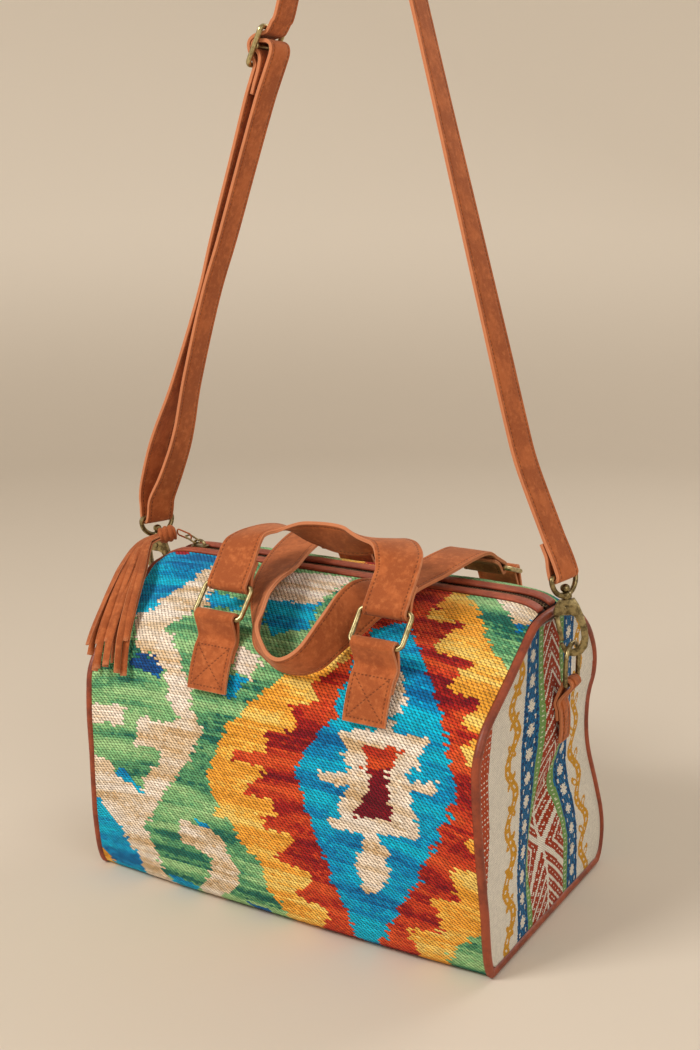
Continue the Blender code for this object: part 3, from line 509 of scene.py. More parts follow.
class Shaders:
    """Shared effects, each a node group that puts out colours, masks and heights."""

    def __init__(self) -> None:
        """Build every group once."""
        self.nap = self._nap()
        self.yarn = self._yarn()
        self.weave = self._weave()
        self.dash = self._dash()
        self.patina = self._patina()
        self.grain = self._grain()

    @staticmethod
    def use(nodes: Nodes, group: bpy.types.NodeTree, inputs: dict) -> bpy.types.Node:
        """Add a group to a material's tree."""
        node = nodes.add("ShaderNodeGroup", node_tree=group)
        for key, value in inputs.items():
            nodes.feed(node.inputs[key], value)
        return node

    def _nap(self) -> bpy.types.NodeTree:
        """Suede: broad handled patches, small mottling and the fine brushed nap."""
        spec = GroupSpec("nap", (("Vector", VECTOR, None), ("Base", COLOR, None), ("Dark", COLOR, None),
                                 ("Light", COLOR, None)),
                         (("Colour", COLOR), ("Height", FLOAT)))
        tree, n, gin, out = spec.open()
        v = gin.outputs["Vector"]
        broad, small = n.noise(v, 45, 3, 0.6), n.noise(v, 230, 4, 0.65)
        fine = n.noise(n.scaled(v, (1.0, 1.6, 0.7)), 2600, 3, 0.7)
        dark = n.ramp(n.math("ADD", n.math("MULTIPLY", broad, 0.6), n.math("MULTIPLY", small, 0.4)), 0.42,
                      0.60)
        tone = n.mix(dark, gin.outputs["Dark"], gin.outputs["Base"])
        tone = n.mix(n.math("MULTIPLY", n.ramp(small, 0.50, 0.74), 0.34), tone, gin.outputs["Light"])
        tone = n.mix(n.math("MULTIPLY", n.ramp(fine, 0.35, 0.65), 0.22), tone, gin.outputs["Light"])
        n.feed(out.inputs["Colour"], tone)
        n.feed(out.inputs["Height"], n.math("ADD", n.math("MULTIPLY", fine, 0.6),
                                            n.math("MULTIPLY", small, 0.9)))
        return tree

    def _yarn(self) -> bpy.types.NodeTree:
        """Slub yarn: each stitch is a slanted bead, rows lean by turns, fibres run along it; its colour carries
        painted shade between the beads, painted light on their tops and a painted sheen along the fibres.
        """
        spec = GroupSpec("yarn", (("Stitch", VECTOR, None), ("Colour", COLOR, None)),
                         (("Colour", COLOR), ("Height", FLOAT)))
        tree, n, gin, out = spec.open()
        sep = n.add("ShaderNodeSeparateXYZ", {0: gin.outputs["Stitch"]})
        wob = n.add("ShaderNodeTexNoise", {"Vector": gin.outputs["Stitch"], "Scale": 0.55, "Detail": 2.0})
        shift = n.math("MULTIPLY", n.math("SUBTRACT", wob.outputs[0], 0.5), 0.5)
        x, y = n.math("ADD", sep.outputs[0], n.math("MULTIPLY", shift, 0.6)), n.math("ADD", sep.outputs[1],
                shift)
        row = n.math("FLOOR", y)
        odd = n.math("FLOORED_MODULO", row, 2.0)
        xs = n.math("ADD", x, n.math("MULTIPLY", odd, 0.5))
        col = n.math("FLOOR", xs)
        fx = n.math("SUBTRACT", n.math("FRACT", xs), 0.5)
        lean = n.math("MULTIPLY", fx, n.math("SUBTRACT", 0.62, n.math("MULTIPLY", odd, 0.30)))
        fy = n.math("SUBTRACT", n.math("FRACT", n.math("SUBTRACT", y, lean)), 0.5)
        across = n.math("SUBTRACT", 1.0, n.math("POWER", n.math("MULTIPLY", n.math("ABSOLUTE", fy), 2.0),
                                                2.2), clamp=True)
        along = n.math("SUBTRACT", 1.0, n.math("POWER", n.math("MULTIPLY", n.math("ABSOLUTE", fx), 2.0), 4.0),
                       clamp=True)
        bead = n.math("POWER", n.math("MULTIPLY", across,
                                      n.math("ADD", 0.25, n.math("MULTIPLY", along, 0.75))), 0.6)
        seat = n.add("ShaderNodeCombineXYZ", {0: col, 1: row, 2: 0.0}).outputs[0]
        luck = n.add("ShaderNodeTexWhiteNoise", {"Vector": seat}, noise_dimensions="3D").outputs["Value"]
        fibre = n.noise(n.scaled(gin.outputs["Stitch"], (2.2, 5.5, 1.0)), 1.6, 4, 0.75)
        # Painted shade and light: the dye colour is darkened in the hollows between beads and lifted above its
        # own value on their tops, mixed with random tone per stitch and along the fibres.
        shade = n.math("MULTIPLY", n.ramp(bead, 0.0, 0.80, (0.26, 1.16)),
                       n.math("ADD", 0.80, n.math("MULTIPLY", luck, 0.36)))
        shade = n.math("MULTIPLY", shade, n.math("ADD", 0.72, n.math("MULTIPLY", fibre, 0.56)))
        grey = n.add("ShaderNodeCombineColor", {0: shade, 1: shade, 2: shade}).outputs[0]
        tone = n.mix(1.0, gin.outputs["Colour"], grey, "MULTIPLY")
        # Painted sheen: bead tops are mixed towards near white along the fibres, standing in for light catching
        # the yarn.
        painted_sheen = n.math("MULTIPLY", n.ramp(fibre, 0.58, 0.78), n.math("MULTIPLY", bead, 0.07))
        n.feed(out.inputs["Colour"], n.mix(painted_sheen, tone, (0.92, 0.88, 0.80)))
        n.feed(out.inputs["Height"], n.math("ADD", bead, n.math("MULTIPLY", fibre, 0.35)))
        return tree

    def _weave(self) -> bpy.types.NodeTree:
        """Plain weave: warp and weft ribs that pass over each other, with uneven threads; its colour carries
        painted shade where a thread dips under and painted light where it crosses over.
        """
        spec = GroupSpec("weave", (("Thread", VECTOR, None), ("Colour", COLOR, None)),
                         (("Colour", COLOR), ("Height", FLOAT)))
        tree, n, gin, out = spec.open()
        sep = n.add("ShaderNodeSeparateXYZ", {0: gin.outputs["Thread"]})
        wave_x = n.math("ABSOLUTE", n.math("SINE", n.math("MULTIPLY", sep.outputs[0], math.pi)))
        wave_y = n.math("ABSOLUTE", n.math("SINE", n.math("MULTIPLY", sep.outputs[1], math.pi)))
        check = n.math("FLOORED_MODULO", n.math("ADD", n.math("FLOOR", sep.outputs[0]),
                                                n.math("FLOOR", sep.outputs[1])), 2.0)
        high = n.add("ShaderNodeMix", {0: check, 2: n.math("MULTIPLY", wave_x,
                                                           n.math("ADD", 0.5, n.math("MULTIPLY", wave_y,
                                                              0.5))),
                                       3: n.math("MULTIPLY", wave_y,
                                                 n.math("ADD", 0.5, n.math("MULTIPLY", wave_x,
                                                         0.5)))}).outputs[0]
        slub = n.noise(gin.outputs["Thread"], 0.9, 3, 0.6)
        # Painted shade and light: the colour is darkened where threads dip and lifted above its own value on
        # the crossings, mixed with random slub tone.
        shade = n.math("MULTIPLY", n.ramp(high, 0.05, 0.8, (0.36, 1.10)),
                       n.math("ADD", 0.78, n.math("MULTIPLY", slub, 0.42)))
        grey = n.add("ShaderNodeCombineColor", {0: shade, 1: shade, 2: shade}).outputs[0]
        n.feed(out.inputs["Colour"], n.mix(1.0, gin.outputs["Colour"], grey, "MULTIPLY"))
        n.feed(out.inputs["Height"], n.math("ADD", high, n.math("MULTIPLY", slub, 0.4)))
        return tree

    def _dash(self) -> bpy.types.NodeTree:
        """Row of stitches along a seam, from the distance to the seam and the way along it."""
        spec = GroupSpec("dash", (("Distance", FLOAT, 1.0), ("Along", FLOAT, 0.0), ("Pitch", FLOAT, 0.003)),
                         (("Hole", FLOAT), ("Height", FLOAT)))
        tree, n, gin, out = spec.open()
        near = n.ramp(gin.outputs["Distance"], 0.0007, 0.0003)
        beat = n.math("FRACT", n.math("DIVIDE", gin.outputs["Along"], gin.outputs["Pitch"]))
        off = n.math("ABSOLUTE", n.math("SUBTRACT", beat, 0.5))
        hole = n.math("MULTIPLY", near, n.ramp(off, 0.34, 0.22))
        n.feed(out.inputs["Hole"], hole)
        n.feed(out.inputs["Height"], n.math("MULTIPLY", n.ramp(gin.outputs["Distance"], 0.0012, 0.0002),
                                            -1.0))
        return tree

    def _patina(self) -> bpy.types.NodeTree:
        """Antique metal: darker tarnish in patches and fine wear scratches."""
        spec = GroupSpec("patina", (("Vector", VECTOR, None), ("Metal", COLOR, None),
                                    ("Tarnish", COLOR, None), ("Amount", FLOAT, 0.5)),
                         (("Colour", COLOR), ("Rough", FLOAT), ("Height", FLOAT)))
        tree, n, gin, out = spec.open()
        v = gin.outputs["Vector"]
        patch, fine = n.noise(v, 260, 4, 0.65), n.noise(n.scaled(v, (1.0, 1.0, 4.0)), 1500, 2, 0.5)
        mask = n.math("MULTIPLY", n.ramp(patch, 0.38, 0.66), gin.outputs["Amount"])
        n.feed(out.inputs["Colour"], n.mix(mask, gin.outputs["Metal"], gin.outputs["Tarnish"]))
        n.feed(out.inputs["Rough"], n.math("ADD", 0.24, n.math("ADD", n.math("MULTIPLY", mask, 0.22),
                n.math("MULTIPLY", fine, 0.10))))
        n.feed(out.inputs["Height"], n.math("ADD", n.math("MULTIPLY", patch, 0.7),
                                            n.math("MULTIPLY", fine, 0.3)))
        return tree

    def _grain(self) -> bpy.types.NodeTree:
        """Smooth leather: fine pebbled cells, soft creases and worn lighter spots."""
        spec = GroupSpec("grain", (("Vector", VECTOR, None), ("Base", COLOR, None), ("Dark", COLOR, None)),
                         (("Colour", COLOR), ("Height", FLOAT)))
        tree, n, gin, out = spec.open()
        v = gin.outputs["Vector"]
        cells = n.add("ShaderNodeTexVoronoi", {"Vector": v, "Scale": 1300.0}).outputs["Distance"]
        crease = n.noise(v, 320, 4, 0.7)
        broad = n.noise(v, 60, 2, 0.5)
        tone = n.mix(n.ramp(n.math("ADD", n.math("MULTIPLY", broad, 0.6), n.math("MULTIPLY", crease, 0.4)),
                            0.36, 0.62),
                     gin.outputs["Dark"], gin.outputs["Base"])
        n.feed(out.inputs["Colour"], tone)
        n.feed(out.inputs["Height"], n.math("ADD", n.math("MULTIPLY", cells, 0.5), crease))
        return tree


def open_material(name: str) -> tuple[bpy.types.Material, Nodes, bpy.types.Node]:
    """Make a material and return it with its node helper and shader."""
    mat = bpy.data.materials.new(name)
    mat.use_nodes = True
    return mat, Nodes(mat.node_tree), mat.node_tree.nodes["Principled BSDF"]


def bump(n: Nodes, bsdf: bpy.types.Node, height: object, strength: float, distance: float) -> None:
    """Link a height to the shader's normal."""
    node = n.add("ShaderNodeBump", {"Strength": strength, "Distance": distance, "Height": height})
    n.feed(bsdf.inputs["Normal"], node.outputs[0])


@dataclass(frozen=True)
class SuedeFinish:
    """Brushed tan suede with its seams."""

    name: str
    stitching: Stitching = Stitching.NONE
    width: float = 0.034
    box: tuple[float, float] = (0.0025, 0.033)
    base: Colour = linear((176, 93, 47))
    dark: Colour = linear((148, 72, 33))
    light: Colour = linear((202, 124, 74))
    cut: Colour = linear((206, 134, 94))

    def material(self, shaders: Shaders) -> bpy.types.Material:
        """Build the material."""
        mat, n, bsdf = open_material(self.name)
        place = n.add("ShaderNodeTexCoord").outputs["Object"]
        nap = shaders.use(n, shaders.nap, {"Vector": place, "Base": self.base, "Dark": self.dark,
                                           "Light": self.light})
        colour, height = nap.outputs["Colour"], nap.outputs["Height"]
        if self.stitching is not Stitching.NONE:
            hole, dip = self._seams(n, shaders)
            colour = n.mix(n.math("MULTIPLY", hole, 0.62), colour, linear((70, 30, 14)))
            height = n.math("ADD", height, n.math("MULTIPLY", dip, 1.6))
        edge = n.add("ShaderNodeAttribute", attribute_name="edge").outputs["Fac"]
        colour = n.mix(n.math("MULTIPLY", edge, 0.75), colour, self.cut)
        n.feed(bsdf.inputs["Base Color"], colour)
        bsdf.inputs["Roughness"].default_value = 0.88
        bsdf.inputs["Sheen Weight"].default_value = 0.18
        bsdf.inputs["Sheen Roughness"].default_value = 0.5
        bsdf.inputs["Sheen Tint"].default_value = (1.0, 0.72, 0.5, 1.0)
        bsdf.inputs["Specular IOR Level"].default_value = 0.25
        bump(n, bsdf, height, 0.55, 0.0003)
        return mat

    def _seams(self, n: Nodes, shaders: Shaders) -> tuple[bpy.types.NodeSocket, bpy.types.NodeSocket]:
        """Return the stitch holes and the dips of every seam."""
        sheet = n.add("ShaderNodeUVMap", uv_map="sheet").outputs[0]
        sep = n.add("ShaderNodeSeparateXYZ", {0: sheet})
        u, v = sep.outputs[0], sep.outputs[1]
        wide = n.math("ABSOLUTE", u)
        reach = self.width / 2 - 0.0031
        rows = [(n.math("ABSOLUTE", n.math("SUBTRACT", wide, reach)), v)]
        limit = 1.0
        if self.stitching is Stitching.BOX:
            low, high = self.box
            middle, slope = (low + high) / 2, (high - low) / (2 * reach)
            limit = n.math("MULTIPLY", n.math("LESS_THAN", v, high + 0.0006),
                           n.math("GREATER_THAN", v, low - 0.0006))
            rise = n.math("ABSOLUTE", n.math("SUBTRACT", v, middle))
            diagonal = n.math("ABSOLUTE", n.math("SUBTRACT", rise, n.math("MULTIPLY", wide, slope)))
            rows += [(n.math("ABSOLUTE", n.math("SUBTRACT", v, at)), u) for at in (low, high)]
            rows += [(n.math("MULTIPLY", diagonal, 1 / math.hypot(1, slope)),
                      n.math("MULTIPLY", v, math.hypot(1, 1 / slope)))]
        hole: object = 0.0
        dip: object = 0.0
        for distance, along in rows:
            dash = shaders.use(n, shaders.dash, {"Distance": distance, "Along": along})
            hole = n.math("MAXIMUM", hole, dash.outputs["Hole"])
            dip = n.math("MINIMUM", dip, dash.outputs["Height"])
        inner = n.math("LESS_THAN", wide, reach + 0.0008)
        keep = n.math("MULTIPLY", limit, inner)
        return n.math("MULTIPLY", hole, keep), n.math("MULTIPLY", dip, keep)


@dataclass(frozen=True)
class LeatherFinish:
    """Smooth red-brown leather."""

    name: str
    base: Colour
    dark: Colour
    rough: float = 0.5

    def material(self, shaders: Shaders) -> bpy.types.Material:
        """Build the material."""
        mat, n, bsdf = open_material(self.name)
        place = n.add("ShaderNodeTexCoord").outputs["Object"]
        grain = shaders.use(n, shaders.grain, {"Vector": place, "Base": self.base, "Dark": self.dark})
        n.feed(bsdf.inputs["Base Color"], grain.outputs["Colour"])
        n.feed(bsdf.inputs["Roughness"], n.ramp(grain.outputs["Height"], 0.3, 1.0,
                                                (self.rough + 0.12, self.rough - 0.08)))
        bump(n, bsdf, grain.outputs["Height"], 0.4, 0.00025)
        return mat


@dataclass(frozen=True)
class MetalFinish:
    """Brass with tarnish and wear."""

    name: str
    metal: Colour
    tarnish: Colour
    amount: float

    def material(self, shaders: Shaders) -> bpy.types.Material:
        """Build the material."""
        mat, n, bsdf = open_material(self.name)
        place = n.add("ShaderNodeTexCoord").outputs["Object"]
        patina = shaders.use(n, shaders.patina, {"Vector": place, "Metal": self.metal,
                                                 "Tarnish": self.tarnish, "Amount": self.amount})
        n.feed(bsdf.inputs["Base Color"], patina.outputs["Colour"])
        n.feed(bsdf.inputs["Roughness"], patina.outputs["Rough"])
        bsdf.inputs["Metallic"].default_value = 1.0
        bump(n, bsdf, patina.outputs["Height"], 0.12, 0.0002)
        return mat


@dataclass(frozen=True)
class ClothFinish:
    """Woven cloth whose colours are stored on the faces."""

    name: str
    attribute: str
    chunky: bool
    depth: float = 0.0011

    def material(self, shaders: Shaders) -> bpy.types.Material:
        """Build the material."""
        mat, n, bsdf = open_material(self.name)
        sheet = n.add("ShaderNodeUVMap", uv_map="sheet").outputs[0]
        dyed = n.add("ShaderNodeAttribute", attribute_name=self.attribute).outputs["Color"]
        group = shaders.yarn if self.chunky else shaders.weave
        key = "Stitch" if self.chunky else "Thread"
        cloth = shaders.use(n, group, {key: sheet, "Colour": dyed})
        n.feed(bsdf.inputs["Base Color"], cloth.outputs["Colour"])
        bsdf.inputs["Roughness"].default_value = 0.9
        bsdf.inputs["Sheen Weight"].default_value = 0.05
        bsdf.inputs["Specular IOR Level"].default_value = 0.15
        bump(n, bsdf, cloth.outputs["Height"], 1.0 if self.chunky else 0.8, self.depth)
        return mat


@dataclass(frozen=True)
class PlainCloth:
    """Fine plain cloth of one colour, such as lining or zip tape."""

    name: str
    colour: Colour
    threads: float = 1500.0

    def material(self, shaders: Shaders) -> bpy.types.Material:
        """Build the material."""
        mat, n, bsdf = open_material(self.name)
        place = n.add("ShaderNodeTexCoord").outputs["Object"]
        cloth = shaders.use(n, shaders.weave, {"Thread": n.scaled(place, (self.threads,) * 3),
                                               "Colour": self.colour})
        n.feed(bsdf.inputs["Base Color"], cloth.outputs["Colour"])
        bsdf.inputs["Roughness"].default_value = 0.9
        bump(n, bsdf, cloth.outputs["Height"], 0.4, 0.0002)
        return mat


class Wardrobe:
    """Every material of the bag."""

    def __init__(self) -> None:
        """Build the shared effects and the materials."""
        shaders = Shaders()
        self.kilim = ClothFinish("kilim_yarn", "dyed", chunky=True).material(shaders)
        self.dobby = ClothFinish("dobby_cloth", "dyed", chunky=False, depth=0.0006).material(shaders)
        self.lining = PlainCloth("lining_cloth", linear((96, 66, 44))).material(shaders)
        self.tape = PlainCloth("zip_tape_cloth", linear((58, 34, 24)), 2000.0).material(shaders)
        self.piping = LeatherFinish("piping_hide", linear((150, 66, 34)),
                                    linear((112, 44, 22))).material(shaders)
        self.trim = LeatherFinish("trim_hide", linear((168, 78, 46)), linear((134, 56, 32)),
                                  0.6).material(shaders)
        self.suede = SuedeFinish("suede_plain").material(shaders)
        self.suede_tab = SuedeFinish("suede_tab", Stitching.BOX, 0.034, (0.0035, 0.0330)).material(shaders)
        self.suede_d_tab = SuedeFinish("suede_d_tab", Stitching.BOX, 0.017, (0.003, 0.022)).material(shaders)
        self.suede_handle = SuedeFinish("suede_handle", Stitching.EDGES, 0.034).material(shaders)
        self.suede_strap = SuedeFinish("suede_strap", Stitching.EDGES, 0.025).material(shaders)
        self.antique = MetalFinish("antique_metal", linear((158, 142, 100)), linear((74, 62, 42)),
                                   0.85).material(shaders)
        self.pale = MetalFinish("pale_metal", linear((196, 182, 134)), linear((112, 96, 60)),
                                0.65).material(shaders)
        self.teeth = MetalFinish("zip_metal", linear((120, 96, 62)), linear((54, 40, 26)),
                                 0.8).material(shaders)


# ---------------------------------------------------------------- shape of the bag's body


MIDDLE = ((.0172, .2485), (.040, .2447), (.065, .2372), (.088, .2268), (.1035, .2135), (.1125, .197),
          (.1185, .177),
          (.1215, .150), (.1225, .120), (.1205, .075), (.116, .035), (.110, .009), (.100, .0006), (.088, 0.0),
          (.045, 0.0), (0.0, 0.0))
END = ((.0172, .2400), (.032, .2365), (.050, .2245), (.070, .2100), (.090, .1965), (.107, .1835),
       (.1165, .166),
       (.118, .140), (.1155, .105), (.1115, .060), (.108, .028), (.104, .010), (.098, .0006), (.086, 0.0),
       (.045, 0.0), (0.0, 0.0))
DENTED = ((.0172, .2400), (.034, .2360), (.052, .2270), (.070, .2150), (.084, .2010), (.095, .1830),
          (.096, .1650),
          (.084, .1450), (.083, .1150), (.101, .070), (.113, .035), (.111, .012), (.101, .0006), (.088, 0.0),
          (.045, 0.0), (0.0, 0.0))


@dataclass
class BodyShape:
    """Outer surface of the stuffed bag, from its zip edge over the front, base and back."""

    panel_t: float = 0.003
    gusset_t: float = 0.0025
    piping_r: float = 0.0032
    zip_level: float = 0.2475
    zip_drop: float = 0.0085
    zip_half: float = 0.168
    end_power: float = 3.0
    top_power: float = 20.0
    fine: int = 24

    def __post_init__(self) -> None:
        """Refine the three half sections and measure the middle one."""
        self.curves = {k: smooth_rows(np.array(v), self.fine) for k,
                       v in (("mid", MIDDLE), ("end", END), ("dent", DENTED))}
        self.run = arc(self.curves["mid"])
        self.length = float(self.run[-1])

    def half_length(self, z: Array) -> Array:
        """Half length of the bag at a height."""
        return np.interp(z, (0.0, 0.05, 0.10, 0.157, 0.20, 0.25),
                         (0.1735, 0.1725, 0.169, 0.1665, 0.168, 0.169))

    def zip_z(self, x: Array) -> Array:
        """Height of the zip line, which dips at both ends."""
        return self.zip_level - self.zip_drop * np.abs(np.asarray(x) / self.zip_half) ** self.top_power

    def half(self, xi: Array, s: Array, side: int) -> Array:
        """Points of one face.

        Args:
            xi: Share of the half length, from -1 to 1.
            s: Cloth run from the zip edge in metres, up to the length at the middle of the base.
            side: -1 for the front, 1 for the back.

        Returns:
            Points by the shape of xi and s: middle and end sections mixed by a power of xi.
        """
        t = np.interp(s, self.run, np.arange(len(self.run)))
        mid, end, dent = (np.stack([np.interp(t, np.arange(len(c)), c[:, k]) for k in (0, 1)], axis=-1)
                          for c in (self.curves["mid"], self.curves["end"], self.curves["dent"]))
        share = t / (len(self.run) - 1)
        power = self.end_power + (self.top_power - self.end_power) * np.clip(1 - share / 0.10, 0, 1)
        mix = (np.abs(xi) ** power)[..., None]
        tail = np.where((xi > 0)[..., None] & (side > 0), dent, end)
        yz = mid * (1 - mix) + tail * mix
        return np.stack([xi * self.half_length(yz[..., 1]), side * yz[..., 0], yz[..., 1]], axis=-1)

    def wrap(self, xi: float) -> Array:
        """Whole line of the wrap at one end share, front zip edge to rear zip edge."""
        s = np.linspace(0, self.length, 160)
        ends = np.full_like(s, xi)
        return np.vstack([self.half(ends, s, -1), self.half(ends, s[::-1], 1)[1:]])

    def edge_loop(self, sign: int) -> Array:
        """Centre line of the piping round one gusset."""
        line = self.wrap(float(sign))
        t = tangents(line)
        line = line + unit(np.stack([0 * t[:, 0], -t[:, 2], t[:, 1]], axis=1)) * self.panel_t / 2
        line[:, 0] = sign * self.half_length(line[:, 2])
        line[:, 2] = np.maximum(line[:, 2], self.piping_r)
        y = np.linspace(0.0135, -0.0135, 9)
        top = np.stack([np.full_like(y, sign * 0.1688), y, 0.2385 + 0.0006 * np.cos(y * 90)], axis=1)
        return np.vstack([line, top])

    def gusset_x(self, sign: int, y: Array, z: Array) -> Array:
        """Outer face of a gusset: pulled out by the strap tab, creased below it."""
        pull = 0.0105 * np.exp(-((y / 0.036) ** 2)) * np.exp(-(((z - 0.156) / 0.034) ** 2))
        fold = (y - 0.010 + (0.115 - z) * 0.42) / 0.020
        crease = 0.0100 * np.exp(-(fold**2)) * np.exp(-(((z - 0.078) / 0.040) ** 2))
        return sign * (self.half_length(z) + self.gusset_t / 2 + pull - (1.0 if sign > 0 else 0.6) * crease)

    def face_point(self, x: float, side: int, z: float) -> Array:
        """Outer surface at a place and height of the front or back."""
        s = np.linspace(0, self.length, 500)
        line = self.half(np.full_like(s, x / float(self.half_length(z))), s, side)
        return np.array((x, np.interp(-z, -line[:, 2], line[:, 1]), z))


# ---------------------------------------------------------------- kilim


FAMILIES: dict[str, tuple[tuple[int, int, int], ...]] = {
    "green": ((164, 210, 146), (134, 192, 130), (92, 160, 112), (36, 108, 92)),
    "cream": ((250, 236, 220), (244, 226, 204), (232, 206, 172), (214, 180, 136)),
    "blue": ((6, 190, 226), (4, 172, 218), (2, 142, 200), (2, 108, 168)),
    "navy": ((24, 110, 176), (20, 92, 160), (22, 70, 130), (20, 70, 130)),
    "yellow": ((255, 214, 112), (255, 196, 84), (250, 172, 62), (230, 158, 50)),
    "rust": ((226, 88, 42), (206, 66, 34), (164, 32, 28), (126, 18, 30)),
    "ember": ((222, 84, 38), (214, 76, 34), (200, 64, 32), (180, 50, 30)),
    "maroon": ((150, 26, 32), (128, 18, 32), (116, 16, 34), (104, 14, 30)),
    "crimson": ((196, 56, 62), (184, 46, 56), (170, 40, 50), (150, 36, 44)),
}

